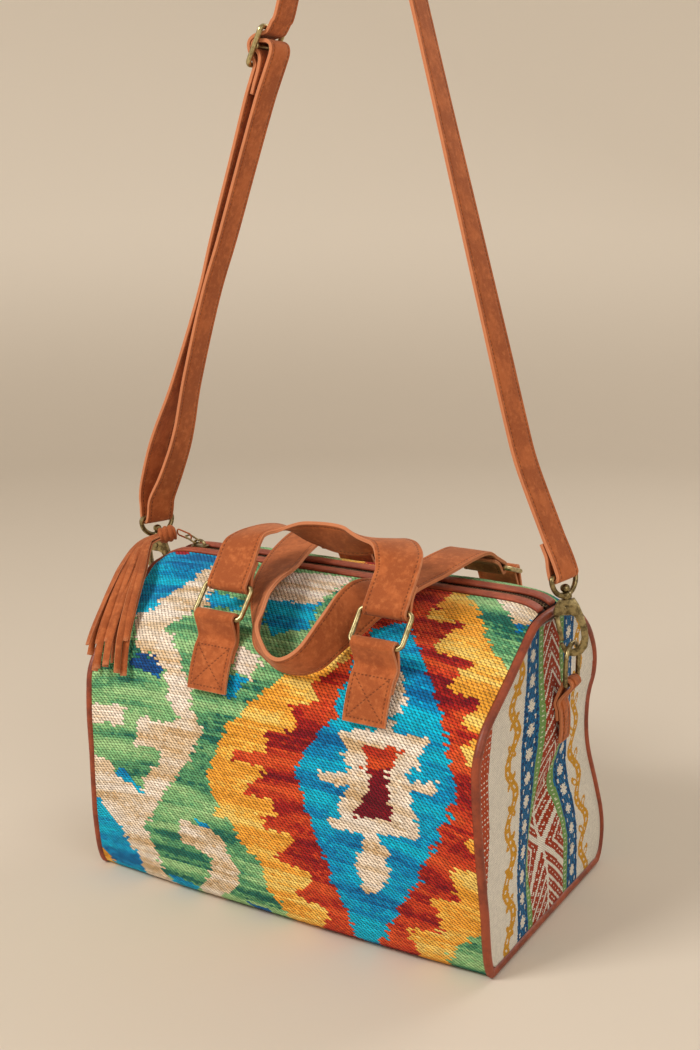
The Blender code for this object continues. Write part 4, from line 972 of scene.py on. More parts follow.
FRONT_FIELDS: tuple[tuple[str, tuple[tuple[int, int], ...]], ...] = (
    ("cream", ((-102, 12), (-110, 33), (-121, 50), (-133, 65), (-146, 83), (-126, 111), (-111, 114),
               (-93, 126), (-92, 141), (-83, 155), (-79, 162), (-95, 166), (-118, 164), (-122, 188),
               (-101, 183), (-59, 179), (-58, 158), (-65, 151), (-67, 138), (-74, 126), (-83, 113),
               (-93, 100), (-106, 93), (-88, 77), (-76, 72), (-85, 48))),
    ("cream", ((-120, 176), (-121, 183), (-103, 188), (-94, 188), (-97, 197), (-115, 214), (-116, 226),
               (-134, 218), (-147, 208), (-149, 202), (-175, 195), (-175, 226), (-155, 248), (-140, 265),
               (-124, 296), (-111, 430), (-95, 430), (-77, 430), (-80, 430), (-94, 313), (-102, 296),
               (-105, 281), (-115, 258), (-105, 242), (-92, 220), (-80, 208), (-68, 192), (-57, 166))),
    ("cream", ((-175, 158), (-135, 158), (-134, 173), (-175, 172))),
    ("blue", ((-175, 226), (-155, 248), (-140, 265), (-124, 296), (-111, 430), (-129, 430), (-161, 430),
              (-175, 430))),
    ("yellow", ((-175, 275), (-175, 285), (-158, 306), (-175, 430))),
    ("blue", ((-142, 208), (-132, 208), (-116, 226), (-129, 220), (-142, 214))),
    ("cream", ((-78, 242), (-42, 248), (-31, 267), (-26, 275), (-29, 288), (-49, 308), (-53, 430), (-79, 430),
               (-67, 304), (-54, 285), (-49, 273), (-64, 267), (-82, 263))),
    ("blue", ((-71, 237), (-49, 242), (-50, 248), (-64, 242))),
    ("blue", ((-98, 299), (-83, 299), (-70, 303), (-75, 312), (-83, 430), (-94, 313))),
    ("navy", ((-22, 304), (-4, 306), (-5, 430), (-18, 430))),
    ("blue", ((-175, -5), (-153, -5), (-106, -5), (-105, 0), (-101, 14), (-110, 33), (-119, 52), (-132, 68),
              (-126, 75), (-146, 83), (-175, 82))),
    ("crimson", ((-156, -5), (-140, -5), (-140, 0), (-141, 9), (-159, 1))),
    ("navy", ((-131, 121), (-122, 114), (-104, 117), (-93, 128), (-96, 132), (-109, 129), (-122, 126))),
    ("cream", ((-32, 98), (-21, 99), (-7, 107), (-14, 111), (-15, 121), (-32, 116))),
    ("blue", ((-34, 118), (-17, 121), (-21, 130), (-29, 137), (-38, 136), (-34, 126))),
    ("blue", ((-89, 52), (-51, 56), (-43, 69), (-80, 66))),
    ("cream", ((-65, 12), (13, 0), (16, 6), (14, 27), (9, 36), (14, 44), (-3, 50), (-38, 52))),
    ("blue", ((-38, 52), (-3, 50), (12, 46), (18, 73), (13, 77), (-10, 86))),
    ("yellow", ((25, -5), (38, 20), (45, 65), (38, 97), (13, 114), (-3, 129), (-14, 138), (-23, 151),
                (-34, 158), (-41, 176), (-37, 166), (-45, 183), (-50, 197), (-49, 214), (-42, 220),
                (-45, 232), (-30, 232), (-23, 248), (-13, 258), (-3, 268), (-3, 285), (4, 292), (12, 302),
                (26, 430), (36, 430), (53, 430), (131, 430), (142, 302), (153, 285), (161, 271), (175, 261),
                (175, 124), (175, 72), (155, 59), (140, 39), (134, 26), (111, 0), (109, -5))),
    ("rust", ((37, -5), (57, 62), (62, 90), (50, 104), (35, 116), (45, 126), (30, 132), (20, 133), (28, 144),
              (25, 152), (0, 156), (5, 166), (-1, 158), (2, 172), (-24, 176), (-27, 183), (-1, 183), (1, 191),
              (-9, 197), (-17, 202), (-17, 208), (10, 208), (10, 220), (0, 220), (1, 232), (24, 232),
              (26, 237), (9, 251), (9, 258), (28, 258), (38, 258), (37, 268), (22, 281), (23, 285), (43, 286),
              (50, 292), (47, 299), (34, 312), (44, 430), (68, 430), (89, 430), (121, 430), (124, 315),
              (118, 310), (119, 296), (113, 293), (115, 281), (140, 277), (142, 275), (136, 268), (139, 260),
              (132, 253), (133, 248), (153, 242), (151, 232), (147, 218), (160, 214), (175, 212), (175, 206),
              (175, 197), (160, 197), (159, 192), (175, 186), (175, 141), (163, 141), (160, 131), (160, 123),
              (175, 116), (157, 116), (154, 109), (158, 103), (158, 93), (140, 96), (136, 91), (141, 83),
              (137, 80), (146, 75), (145, 70), (118, 72), (114, 63), (120, 52), (126, 37), (99, 42), (95, 33),
              (102, 27), (96, 17), (101, 4), (96, -5))),
    ("blue", ((77, 52), (67, 62), (65, 93), (66, 106), (60, 117), (57, 129), (60, 136), (49, 147), (45, 155),
              (37, 162), (35, 169), (27, 180), (33, 197), (37, 208), (41, 226), (48, 237), (52, 248),
              (57, 263), (61, 273), (67, 285), (67, 299), (72, 314), (76, 430), (84, 430), (87, 301),
              (96, 299), (96, 289), (109, 273), (105, 268), (116, 255), (116, 248), (128, 232), (127, 226),
              (136, 214), (136, 208), (143, 199), (143, 192), (151, 179), (152, 172), (157, 169), (157, 159),
              (154, 151), (150, 144), (149, 135), (145, 123), (137, 114), (138, 110), (129, 101), (127, 96),
              (117, 88), (114, 81), (105, 72), (96, 61), (91, 52))),
    ("cream", ((65, 143), (81, 138), (91, 138), (91, 135), (105, 132), (108, 135), (133, 131), (133, 138),
               (128, 141), (129, 148), (127, 155), (121, 156), (119, 166), (144, 161), (143, 169), (121, 173),
               (123, 177), (124, 185), (124, 192), (129, 192), (126, 206), (96, 212), (96, 220), (104, 220),
               (101, 232), (103, 237), (96, 253), (92, 258), (85, 263), (78, 263), (79, 253), (74, 242),
               (74, 237), (84, 220), (86, 214), (58, 218), (59, 208), (64, 208), (64, 197), (67, 191),
               (73, 183), (47, 183), (48, 176), (71, 172), (74, 166), (67, 166), (68, 158), (71, 158),
               (65, 148))),
    ("cream", ((97, 91), (101, 93), (112, 109), (110, 118), (105, 124), (108, 129), (102, 131), (91, 93))),
    ("ember", ((83, 151), (114, 144), (113, 148), (109, 158), (104, 162), (88, 166), (84, 166), (88, 158))),
    ("maroon", ((88, 166), (103, 162), (105, 172), (103, 180), (110, 180), (104, 185), (105, 189), (109, 192),
                (105, 197), (88, 202), (76, 202), (78, 197), (85, 192), (82, 188), (88, 183), (89, 176))),
    ("cream", ((135, -5), (156, -5), (175, -5), (175, 24), (160, 24), (151, 18), (135, 0))),
    ("blue", ((158, 27), (175, 21), (175, -5), (162, 35))),
)


@dataclass
class KilimPattern:
    """Traditional kilim layout: fields of colour in painting order, in millimetres of the cloth."""

    stitch: float = 3.6
    row: float = 2.0
    half_width: float = 170.0

    @staticmethod
    def lozenge(cx: float, cs: float, half_x: float, half_s: float, teeth: int, depth: float) -> Array:
        """Toothed diamond: its radius drops by the depth at every other corner."""
        k = np.arange(4 * teeth)
        ang = 2 * math.pi * k / len(k)
        size = 1 / (np.abs(np.cos(ang)) + np.abs(np.sin(ang)))
        size = size - np.where(k % 2, depth, 0.0)
        return np.stack([cx + half_x * size * np.cos(ang), cs + half_s * size * np.sin(ang)], axis=1)

    def rear_fields(self) -> list[tuple[str, Array]]:
        """Return the simpler layout of the back: nested diamonds between hooked cream bands."""
        fields: list[tuple[str, Array]] = []
        for sign in (-1, 1):
            band = np.array(((175, 60), (150, 90), (118, 70), (104, 92), (136, 120), (150, 150), (124, 180),
                             (104, 214),
                             (134, 236), (175, 250), (175, 224), (146, 210), (134, 200), (158, 176),
                             (175, 160), (160, 128),
                             (175, 100)), float) * (sign, 1)
            fields += [("cream", band), ("blue", self.lozenge(sign * 165, 40, 34, 30, 5, 0.1)),
                       ("blue", self.lozenge(sign * 165, 296, 30, 34, 5, 0.1))]
        fields += [("yellow", self.lozenge(0, 158, 142, 190, 11, 0.06)),
                   ("rust", self.lozenge(0, 158, 116, 160, 12, 0.10)),
                   ("blue", self.lozenge(0, 158, 84, 116, 10, 0.05)),
                   ("cream", self.lozenge(0, 158, 48, 66, 7, 0.09)),
                   ("maroon", self.lozenge(0, 158, 22, 34, 5, 0.08))]
        return fields

    def colours(self, x: Array, s: Array, rear: Array) -> Array:
        """Colour of each stitch.

        Args:
            x: Place across the bag in millimetres.
            s: Run from the zip edge in millimetres.
            rear: Whether the stitch is on the back.

        Returns:
            Linear colours: the last field that holds the stitch, in a tone that drifts from row to row.
        """
        rng = np.random.default_rng(7)
        px = x + rng.normal(0, 1.5, x.shape)
        ps = s + rng.normal(0, 0.9, x.shape)
        names = list(FAMILIES)
        family = np.full(x.shape, names.index("green"))
        for chosen, fields in ((~rear, [(f, np.array(p, float)) for f, p in FRONT_FIELDS]),
                               (rear, self.rear_fields())):
            where = np.flatnonzero(chosen)
            for name, poly in fields:
                hit = inside(poly, px[where], ps[where])
                family[where[hit]] = names.index(name)
        tone = 0.62 * value_noise(x / 42 + 9 * rear, s / 9, 3) + 0.38 * value_noise(x / 90, s / 3.1, 5)
        tone = np.clip((tone - 0.5) * 2.1 + 0.42 + rng.normal(0, 0.10, x.shape), 0, 0.999)
        table = np.array([[linear(c) for c in FAMILIES[name]] for name in names])
        level = tone * (table.shape[1] - 1)
        low = np.floor(level).astype(int)
        part = np.clip((level - low) * 2.2 - 0.6, 0, 1)[:, None]
        return table[family, low] * (1 - part) + table[family, low + 1] * part


@dataclass
class WrapPanel:
    """Front, base and back of the bag in one chunky woven cloth, with its lining."""

    shape: BodyShape
    pattern: KilimPattern
    trim: float = 0.0036

    def build(self, wardrobe: Wardrobe) -> None:
        """Build the cloth and its lining.

        Args:
            wardrobe: Materials of the bag.
        """
        end = 1 - (self.trim - 0.0012) / self.shape.zip_half
        pitch = self.pattern.stitch / 2000
        cols = int(2 * self.shape.zip_half / pitch)
        rows = int(self.shape.length / (self.pattern.row / 1000))
        xi = np.linspace(-end, end, cols + 1)
        s = np.linspace(0, self.shape.length, rows + 1)
        grid_x, grid_s = np.meshgrid(xi, s)
        front = self.shape.half(grid_x, grid_s, -1)
        back = self.shape.half(grid_x, grid_s, 1)[::-1][1:]
        verts = np.concatenate([front, back])
        lines = len(verts)
        verts = self.unevened(verts, xi)
        normal = self.normals(verts)
        skirt = verts - normal * 0.0018
        across, down = np.meshgrid(np.arange(cols + 1) / 2, np.arange(lines))
        uv = np.stack([across, down], axis=-1)
        m = cols + 1
        grid = Surface.grid(lines, m)
        count = lines * m
        rim = np.concatenate([np.arange(m), np.arange(2, lines) * m - 1, count - 1 - np.arange(m),
                              np.arange(lines - 2, 0, -1) * m])
        skirt_id = np.arange(len(rim)) + count
        wall = np.stack([rim, np.roll(rim, -1), np.roll(skirt_id, -1), skirt_id], axis=1)
        points = np.vstack([verts.reshape(-1, 3), skirt.reshape(-1, 3)[rim]])
        sheet = np.vstack([uv.reshape(-1, 2), uv.reshape(-1, 2)[rim]])
        obj = Surface(points, [grid[:, ::-1], wall[:, ::-1]], sheet).build("kilim_wrap", wardrobe.kilim,
                fix=False)
        paint_faces(obj, "dyed", self.dyes(cols, rows, xi, s, len(wall)))
        settle(obj, "bag", Slot.KILIM, "main_panel")
        self.lining(verts, normal, wardrobe)

    def unevened(self, verts: Array, xi: Array) -> Array:
        """Lift the cloth in slow waves that die out at its edges, and raise every other corner as a knot.

        Args:
            verts: Points of the grid.
            xi: Share of the half length at each column.

        Returns:
            The lifted points.
        """
        lines, m = verts.shape[:2]
        u, v = np.meshgrid(np.arange(m), np.arange(lines))
        wave = value_noise(u / 16.0, v / 13.0, 11) - 0.5
        ends = np.clip((1 - np.abs(xi)) / 0.08, 0, 1)[None, :]
        tops = np.clip(np.minimum(v, lines - 1 - v) / 10.0, 0, 1)
        floor = np.clip(verts[..., 2] / 0.012, 0, 1)
        knots = np.where((u + v) % 2 == 0, 1.0, -1.0) * np.random.default_rng(31).uniform(0.5, 1.5, u.shape)
        lift = wave * 0.0018 + knots * 0.00022
        return verts + self.normals(verts) * (lift * ends * tops * floor)[..., None]

    @staticmethod
    def normals(verts: Array) -> Array:
        """Outward normals of the grid, from the cross product of both of its directions."""
        du, dv = np.gradient(verts, axis=1), np.gradient(verts, axis=0)
        return unit(np.cross(dv, du))

    def dyes(self, cols: int, rows: int, xi: Array, s: Array, extra: int) -> Array:
        """Colour of every face: both half cells of a stitch share one, and odd rows shift by a half.

        Args:
            cols: Half stitches across.
            rows: Stitch rows from zip edge to middle.
            xi: Share of the half length at each column.
            s: Cloth run at each row.
            extra: Faces of the rim.

        Returns:
            One linear colour for each face.
        """
        lines = 2 * rows
        line, col = np.meshgrid(np.arange(lines), np.arange(cols), indexing="ij")
        stitch = (col + line % 2) // 2
        rear = line >= rows
        run = np.where(rear, 2 * rows - 1 - line, line)
        middle = np.clip(2 * stitch + 1 - line % 2, 0, cols)
        key = line * (cols // 2 + 2) + stitch
        _, first, back = np.unique(key, return_index=True, return_inverse=True)
        x = xi[middle.ravel()[first]] * self.pattern.half_width
        run_mm = (s[run.ravel()[first]] + 0.001) * 1000
        tones = self.pattern.colours(x, run_mm, rear.ravel()[first])
        faces = tones[back.ravel()]
        return np.vstack([faces, np.repeat(faces[:1], extra, axis=0)])

    def lining(self, verts: Array, normal: Array, wardrobe: Wardrobe) -> None:
        """Build the smooth inner face.

        Args:
            verts: Points of the grid.
            normal: Their normals.
            wardrobe: Materials of the bag.
        """
        pick = np.unique(np.append(np.arange(0, len(verts), 6), len(verts) - 1))
        across = np.unique(np.append(np.arange(0, verts.shape[1], 6), verts.shape[1] - 1))
        inner = (verts - normal * self.shape.panel_t)[np.ix_(pick, across)]
        surface = Surface(inner.reshape(-1, 3), [Surface.grid(len(pick), len(across))])
        settle(surface.build("wrap_lining", wardrobe.lining, fix=False), "bag", Slot.KILIM)


# ---------------------------------------------------------------- gussets and piping


@dataclass
class Gusset:
    """Striped end cloth with its leather piping."""

    shape: BodyShape
    side: Side
    cols: int = 176
    rows: int = 190
    span: tuple[float, float] = (0.0062, 0.2338)

    def build(self, wardrobe: Wardrobe) -> None:
        """Build the cloth and the piping round it.

        Args:
            wardrobe: Materials of the bag.
        """
        sign = self.side.value
        loop = self.shape.edge_loop(sign)
        spans = [self.edge_y(loop, -1), self.edge_y(loop, 1)]
        z = np.linspace(*self.span, self.rows + 1)
        y0, y1 = (np.interp(z, line[:, 1], line[:, 0]) for line in spans)
        share = np.linspace(0, 1, self.cols + 1)
        y = y0[:, None] + (y1 - y0)[:, None] * share[None]
        zz = np.broadcast_to(z[:, None], y.shape)
        edge = np.minimum(np.minimum(y - y0[:, None], y1[:, None] - y), 0.02) / 0.02
        flat = sign * (self.shape.half_length(zz) + self.shape.gusset_t / 2)
        x = flat + (self.shape.gusset_x(sign, y, zz) - flat) * edge
        x = x + sign * 0.0005 * (value_noise(y * 55 + 7, zz * 40, 17 + sign) - 0.5) * edge
        outer = np.stack([x, y, zz], axis=-1)
        inner = outer - np.array((sign * self.shape.gusset_t, 0, 0))
        uv = np.stack(np.meshgrid(np.arange(self.cols + 1), np.arange(self.rows + 1)), axis=-1).reshape(-1, 2)
        m, n = self.cols + 1, self.rows + 1
        count = n * m
        grid = Surface.grid(n, m)
        rim = np.concatenate([np.arange(m), np.arange(2, n) * m - 1, count - 1 - np.arange(m),
                              np.arange(n - 2, 0, -1) * m])
        wall = np.stack([rim, np.roll(rim, -1), np.roll(rim, -1) + count, rim + count], axis=1)
        faces = [grid, wall, grid[:, ::-1] + count]
        points = np.vstack([outer.reshape(-1, 3), inner.reshape(-1, 3)])
        obj = Surface(points, faces, np.vstack([uv, uv])).build(self.side.word + "_gusset_cloth",
                wardrobe.dobby)
        yc, zc = (0.25 * (a[:-1, :-1] + a[1:, :-1] + a[:-1, 1:] + a[1:, 1:]).ravel() for a in (y, zz))
        dyed = self.stripes(yc - np.interp(zc, z, (y0 + y1) / 2) * 0.3, zc)
        paint_faces(obj, "dyed", np.vstack([dyed, np.repeat(dyed[:1], len(wall), axis=0), dyed]))
        settle(obj, "bag", Slot.DOBBY, self.side.word + "_gusset")
        cord = tube(loop, self.shape.piping_r, (1, 0, 0), 20).build(self.side.word + "_piping_cord",
                wardrobe.piping)
        settle(cord, "bag", Slot.PIPING, self.side.word + "_piping")

    def edge_y(self, loop: Array, side: int) -> Array:
        """Side edge of the cloth as rows of place and height, just under the piping.

        Args:
            loop: Centre line of the piping.
            side: -1 or 1 along Y.

        Returns:
            Rows of place and height.
        """
        part = loop[(loop[:, 1] * side > 0.012)]
        line = part[np.argsort(part[:, 2])]
        heights = np.linspace(*self.span, 80)
        far = np.interp(heights, line[:, 2], np.abs(line[:, 1]))
        low = np.sqrt(np.clip(1 - (1 - np.clip((heights - 0.0035) / 0.012, 0, 1)) ** 2, 0, 1))
        far = (far - 0.0028) * (0.90 + 0.10 * low)
        return np.stack([side * far, heights], axis=1)

    @staticmethod
    def stripes(y: Array, z: Array) -> Array:
        """Colour of every cell of the dobby cloth.

        Args:
            y: Place from the middle in metres.
            z: Height in metres.

        Returns:
            Linear colours of stripes that run up the cloth, mirrored about its middle: a rust heart whose width
            grows downwards, then green, blue with stars, white with a yellow vine, and a dotted orange edge.
        """
        white, rust, gold = (np.array(linear(c)) for c in ((246, 240, 226), (176, 62, 30), (226, 164, 40)))
        blue, navy, green = (np.array(linear(c)) for c in ((30, 116, 172), (18, 62, 112), (128, 172, 98)))
        orange, pale = (np.array(linear(c)) for c in ((208, 90, 40), (224, 232, 200)))
        q, mm = np.abs(y) * 1000, z * 1000
        low = np.clip((0.118 - z) / 0.07, 0, 1)
        heart = 15 + 14 * low * low * (3 - 2 * low)
        c = q - heart
        out = np.repeat(white[None], len(y), axis=0)

        def lay(mask: Array, colour: Array) -> None:
            """Paint the cells of a mask."""
            out[mask] = colour

        lay(c > 79, orange)
        lay((c > 79) & ((np.floor(c / 1.3) + np.floor(mm / 1.3)) % 2 == 0), rust)
        lay((c > 79) & (np.abs((mm % 4.4) - 2.2) < 0.7) & (np.abs((c % 4.4) - 2.2) < 0.8), white)
        swing = np.sin(mm * 2 * math.pi / 44 + np.where(y > 0, 0.6, 0.0))
        vine = np.abs(c - 42 - 6.5 * swing)
        lay(vine < 5.0, gold)
        lay((vine < 1.2) & (np.abs((mm % 6.5) - 3.2) < 1.4), white)
        ring = np.hypot(c - 42 + 7.5 * swing, ((mm + 11) % 22 - 11) / 1.3)
        lay((ring < 4.2) & (ring > 2.0), gold)
        band = (c > 8) & (c < 28)
        u = c - 18
        lay(band, blue)
        lay(band & ((np.floor(c / 1.3) + np.floor(mm / 2.6)) % 3 == 0), navy)
        lay(band & (np.abs(u) > 7.2 + 1.3 * np.sign(np.sin(mm * 2 * math.pi / 5.2))), navy)
        lay(band & (np.abs(u) > 8.8), blue)
        v = (mm + 9) % 18 - 9
        star = (np.minimum(np.abs(u), np.abs(v)) < 1.5) & (np.maximum(np.abs(u), np.abs(v)) < 4.6)
        star |= (np.abs(np.abs(u) - np.abs(v)) < 1.0) & (np.abs(u) < 3.6)
        lay(band & star, white)
        lay(band & (np.abs(np.abs(u) - 5.2) < 0.8) & (np.abs(v) > 7.6), white)
        strip = (c > 0) & (c <= 8)
        lay(strip, green)
        lay(strip & ((np.floor(mm / 1.3) % 3 == 0) & (np.abs(c - 4) < 1.4)), pale)
        middle = c <= 0
        lay(middle, rust)
        arms = np.abs(q * 0.92 - np.abs(mm - 58))
        weave = np.where(z < 0.104, arms % 10.5, (mm + q * 1.15) % 13)
        lay(middle & (weave < 3.0), white)
        lay(middle & (np.abs(weave - 6.8) < 0.7) & (np.abs((mm % 3.9) - 1.9) < 0.9), white)
        lay(middle & (z < 0.104) & (q < 1.4), white)
        return out * (0.90 + 0.16 * value_noise(y * 500, z * 500, 23))[:, None]


# ---------------------------------------------------------------- zip and tassel


@dataclass
class ZipTop:
    """Zip with leather trims, tapes, single teeth, slider and pull."""

    shape: BodyShape
    pitch: float = 0.0021
    slider_x: float = -0.144

    def build(self, wardrobe: Wardrobe) -> None:
        """Build both halves and dress the slider.

        Args:
            wardrobe: Materials of the bag.
        """
        half = 0.169 - 0.0036
        xs = np.linspace(-half, half, 261)
        for side, word in ((-1, "front"), (1, "rear")):
            trim = self.strip(xs, side * 0.01105, 0.0105, 0.0017, 0.0026)
            settle(trim.build(word + "_zip_leather", wardrobe.trim), "bag", Slot.TRIM, word + "_zip_trim")
            tape = self.strip(xs, side * 0.0086, 0.0142, -0.0007, 0.0010)
            obj = tape.build(word + "_zip_cloth", wardrobe.tape)
            settle(obj, "bag", Slot.ZIP, word + "_zip_tape")
            settle(self.teeth(half, side).build(word + "_zip_teeth", wardrobe.teeth, smooth=False), "bag",
                   Slot.ZIP)
        for node, body in (("zip_slider", "zip_slider_body"), ("zip_pull", "zip_pull_body")):
            obj = refined(node, 0.00025)
            obj.data.materials.append(wardrobe.antique)
            settle(obj, body, Slot.ANTIQUE, node)

    def strip(self, xs: Array, y: float, width: float, rise: float, thick: float) -> Surface:
        """Rounded strip that follows the zip line at a given place across.

        Args:
            xs: Places along the zip.
            y: Place across the zip.
            width: Width in metres.
            rise: Height above the zip line.
            thick: Thickness in metres.

        Returns:
            The strip's surface.
        """
        path = np.stack([xs, np.full_like(xs, y), self.shape.zip_z(xs) + rise], axis=1)
        a, b = width / 2, thick / 2
        line = rounded(a, b, b * 0.8, 3)
        verts = path[:, None] + np.stack([0 * line[:, 0], line[:, 0], line[:, 1]], axis=1)[None]
        m = len(line)
        faces = [Surface.grid(len(path), m, wrap_m=True), np.arange(m)[::-1],
                 (len(path) - 1) * m + np.arange(m)]
        return Surface(verts.reshape(-1, 3), faces)

    def teeth(self, half: float, side: int) -> Surface:
        """Row of teeth: one eased block for each pitch, laid by turns on both halves.

        Args:
            half: Half length of the row.
            side: -1 or 1 along Y.

        Returns:
            All teeth of one half.
        """
        x = np.arange(-half + 0.001, half - 0.001, self.pitch) + (self.pitch / 2 if side > 0 else 0)
        line = rounded(0.00062, 0.0009, 0.0003, 2)
        ends = np.array((side * 0.0033, -side * 0.0004))
        block = np.stack([np.broadcast_to(line[:, 0], (2, len(line))),
                          np.broadcast_to(ends[:, None], (2, len(line))),
                          np.broadcast_to(line[:, 1], (2, len(line)))], axis=-1).reshape(-1, 3)
        verts = block[None] + np.stack([x, 0 * x, self.shape.zip_z(x) + 0.0001], axis=1)[:, None]
        m = len(line)
        side_faces = np.stack([np.arange(m), (np.arange(m) + 1) % m, (np.arange(m) + 1) % m + m,
                               np.arange(m) + m], axis=1)
        shift = (np.arange(len(x)) * 2 * m)[:, None, None]
        caps = np.stack([np.arange(m)[::-1], np.arange(m) + m])
        return Surface(verts.reshape(-1, 3), [(side_faces[None] + shift).reshape(-1, 4),
                                              (caps[None] + shift).reshape(-1, m)])


@dataclass
class Tassel:
    """Wound suede cap and cut strips that fall over the corner."""

    cap_a: tuple[float, float, float] = (-0.1625, -0.0080, 0.2612)
    cap_b: tuple[float, float, float] = (-0.1725, -0.0185, 0.2578)
    strips: int = 7
    seed: int = 5
    keep: float = 0.68

    def build(self, wardrobe: Wardrobe) -> None:
        """Build the cap and the fringe, and dress the lace.

        Args:
            wardrobe: Materials of the bag.
        """
        a, b = np.array(self.cap_a), np.array(self.cap_b)
        axis = unit(b - a)
        u = unit(np.cross(axis, (0, 0, 1)))
        v = np.cross(axis, u)
        t = np.linspace(0, 1, 49)
        ang = np.arange(36) * 2 * math.pi / 36
        spiral = np.abs(np.sin((t[:, None] * 3.2 + ang[None] / (2 * math.pi)) * math.pi))
        radius = (0.0052 + 0.0011 * spiral + 0.0009 * np.sin(t * math.pi)[:, None]) * np.clip(6
                * np.minimum(t, 1 - t) + 0.55, 0, 1)[:, None]
        spin = np.cos(ang)[:, None] * u + np.sin(ang)[:, None] * v
        verts = (a + t[:, None] * (b - a))[:, None] + radius[..., None] * spin[None]
        m = len(ang)
        faces = [Surface.grid(len(t), m, wrap_m=True), np.arange(m)[::-1], (len(t) - 1) * m + np.arange(m)]
        settle(Surface(verts.reshape(-1, 3), faces).build("tassel_winding", wardrobe.suede), "tassel",
               Slot.SUEDE, "tassel_cap")
        strips = settle(self.fringe(b, axis).build("tassel_strips", wardrobe.suede), "tassel", Slot.SUEDE,
                        "tassel_fringe")
        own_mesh(strips)
        lace = refined("tassel_lace", 0.0001)
        lace.data.materials.append(wardrobe.suede)
        settle(lace, "tassel", Slot.SUEDE, "tassel_lace")

    def fringe(self, start: Array, axis: Array) -> Surface:
        """Two layers of strips that fan out along one spine, each with its own curl and length.

        Args:
            start: Start of the strips.
            axis: Direction of the cap.

        Returns:
            All strips as one surface.
        """
        spine = smooth_rows(np.array([start - axis * 0.0012, (-0.1780, -0.0268, 0.2543),
                                      (-0.1765, -0.0370, 0.2500),
                                      (-0.1710, -0.0520, 0.2420), (-0.1640, -0.0700, 0.2320),
                                      (-0.1570, -0.0890, 0.2190),
                                      (-0.1490, -0.1110, 0.1990), (-0.1420, -0.1280, 0.1720)]), 8)
        share = np.linspace(0, 1, len(spine))
        turn = np.minimum(1, 2 * share)[:, None]
        fan = unit(np.cross(axis, (0, 0, 1))) * (1 - turn) + np.array((-1.0, 0, 0)) * turn
        t = tangents(spine)
        fan = unit(fan - (fan * t).sum(axis=1)[:, None] * t)
        lift = np.cross(t, fan)
        rng = np.random.default_rng(self.seed)
        made: Surface | None = None
        middle = (self.strips - 1) / 2
        for layer in (0, 1):
            for k in range(self.strips):
                wave = rng.uniform(-1, 1, 4)
                across = (k - middle) * (0.0014 + 0.0047 * share**1.2) + 0.0034 * wave[0] * share**2
                across = across + (0.0016 if layer else -0.0006) * share + 0.0016 * wave[1] * np.sin(share
                        * 7) * share
                rise = (layer - 0.5) * (0.0022 + 0.0034 * share) + 0.0014 * share * np.sin(k * 2.3 + 5
                        * share * (1 + wave[1]))
                path = spine + fan * across[:, None] + lift * rise[:, None]
                stop = len(path) - int(rng.integers(0, 8))
                path[:, 2] -= 0.004 * wave[2] * share**3
                tilt = fan + lift * (1.5 * wave[3] * share)[:, None]
                strip = self.strip(path[:stop], tilt[:stop],
                                   0.0018 + 0.0032 * np.minimum(1, share[:stop] * 2.2))
                made = strip if made is None else made.joined(strip)
        return made

    @staticmethod
    def strip(path: Array, wide: Array, width: Array) -> Surface:
        """Thin strip of growing width with cut edges.

        Args:
            path: Points of the line.
            wide: Broad direction of the strap.
            width: Width in metres.

        Returns:
            The strip's surface.
        """
        t = tangents(path)
        w = unit(wide - (wide * t).sum(axis=1)[:, None] * t)
        n = np.cross(t, w)
        line = np.array(((0.5, 0.25), (0.46, 0.5), (0, 0.55), (-0.46, 0.5), (-0.5, 0.25), (-0.5, -0.25),
                         (-0.46, -0.5), (0, -0.45),
                         (0.46, -0.5), (0.5, -0.25)))
        cut = (np.abs(line[:, 0]) > 0.48).astype(float)
        verts = path[:, None] + line[None, :, :1] * w[:, None] * width[:, None, None] + line[None, :,
                1:] * n[:, None] * 0.0014
        m = len(line)
        faces = [Surface.grid(len(path), m, wrap_m=True), np.arange(m)[::-1],
                 (len(path) - 1) * m + np.arange(m)]
        edge = np.tile(cut, (len(path), 1))
        edge[[0, -1]] = 1
        return Surface(verts.reshape(-1, 3), faces, None, edge.ravel())


# ---------------------------------------------------------------- handles


FRONT_MIDDLE = (
    (-.0478, -.0746, .2798, 1.0, -.08, .05), (-.0440, -.0630, .2860, .80, -.60, .05),
    (-.0330, -.0500, .2880, .30, -.95, .10),
    (-.0130, -.0420, .2855, 0, -.80, .60), (.0100, -.0390, .2830, 0, -.62, .78),
    (.0300, -.0390, .2830, -.05, -.70, .70),
    (.0520, -.0450, .2880, -.30, -.93, .20), (.0690, -.0545, .2895, -.66, -.72, .05),
    (.0800, -.0665, .2858, -.93, -.32, .05),
    (.0846, -.0755, .2785, -1.0, -.03, 0))
REAR_MIDDLE = (
    (-.0480, .0380, .2662, 1, 0, 0), (-.0470, .0150, .2665, 1, 0, 0), (-.0440, -.0130, .2615, 1, -.05, .05),
    (-.0380, -.0400, .2550, .95, -.2, .10), (-.0270, -.0730, .2480, .80, -.50, .25),
    (-.0140, -.1020, .2370, .62, -.70, .36),
    (-.0040, -.1200, .2255, .58, -.72, .38), (.0130, -.1285, .2145, .50, -.76, .42),
    (.0290, -.1300, .2120, .24, -.78, .58),
    (.0430, -.1255, .2195, -.02, -.72, .70), (.0520, -.1075, .2355, -.25, -.50, .83),
    (.0590, -.0785, .2510, -.75, -.25, .60),
    (.0680, -.0460, .2560, -1, 0, .10), (.0760, -.0160, .2605, -1, 0, 0), (.0830, .0130, .2660, -1, 0, 0),
    (.0850, .0380, .2662, -1, 0, 0))


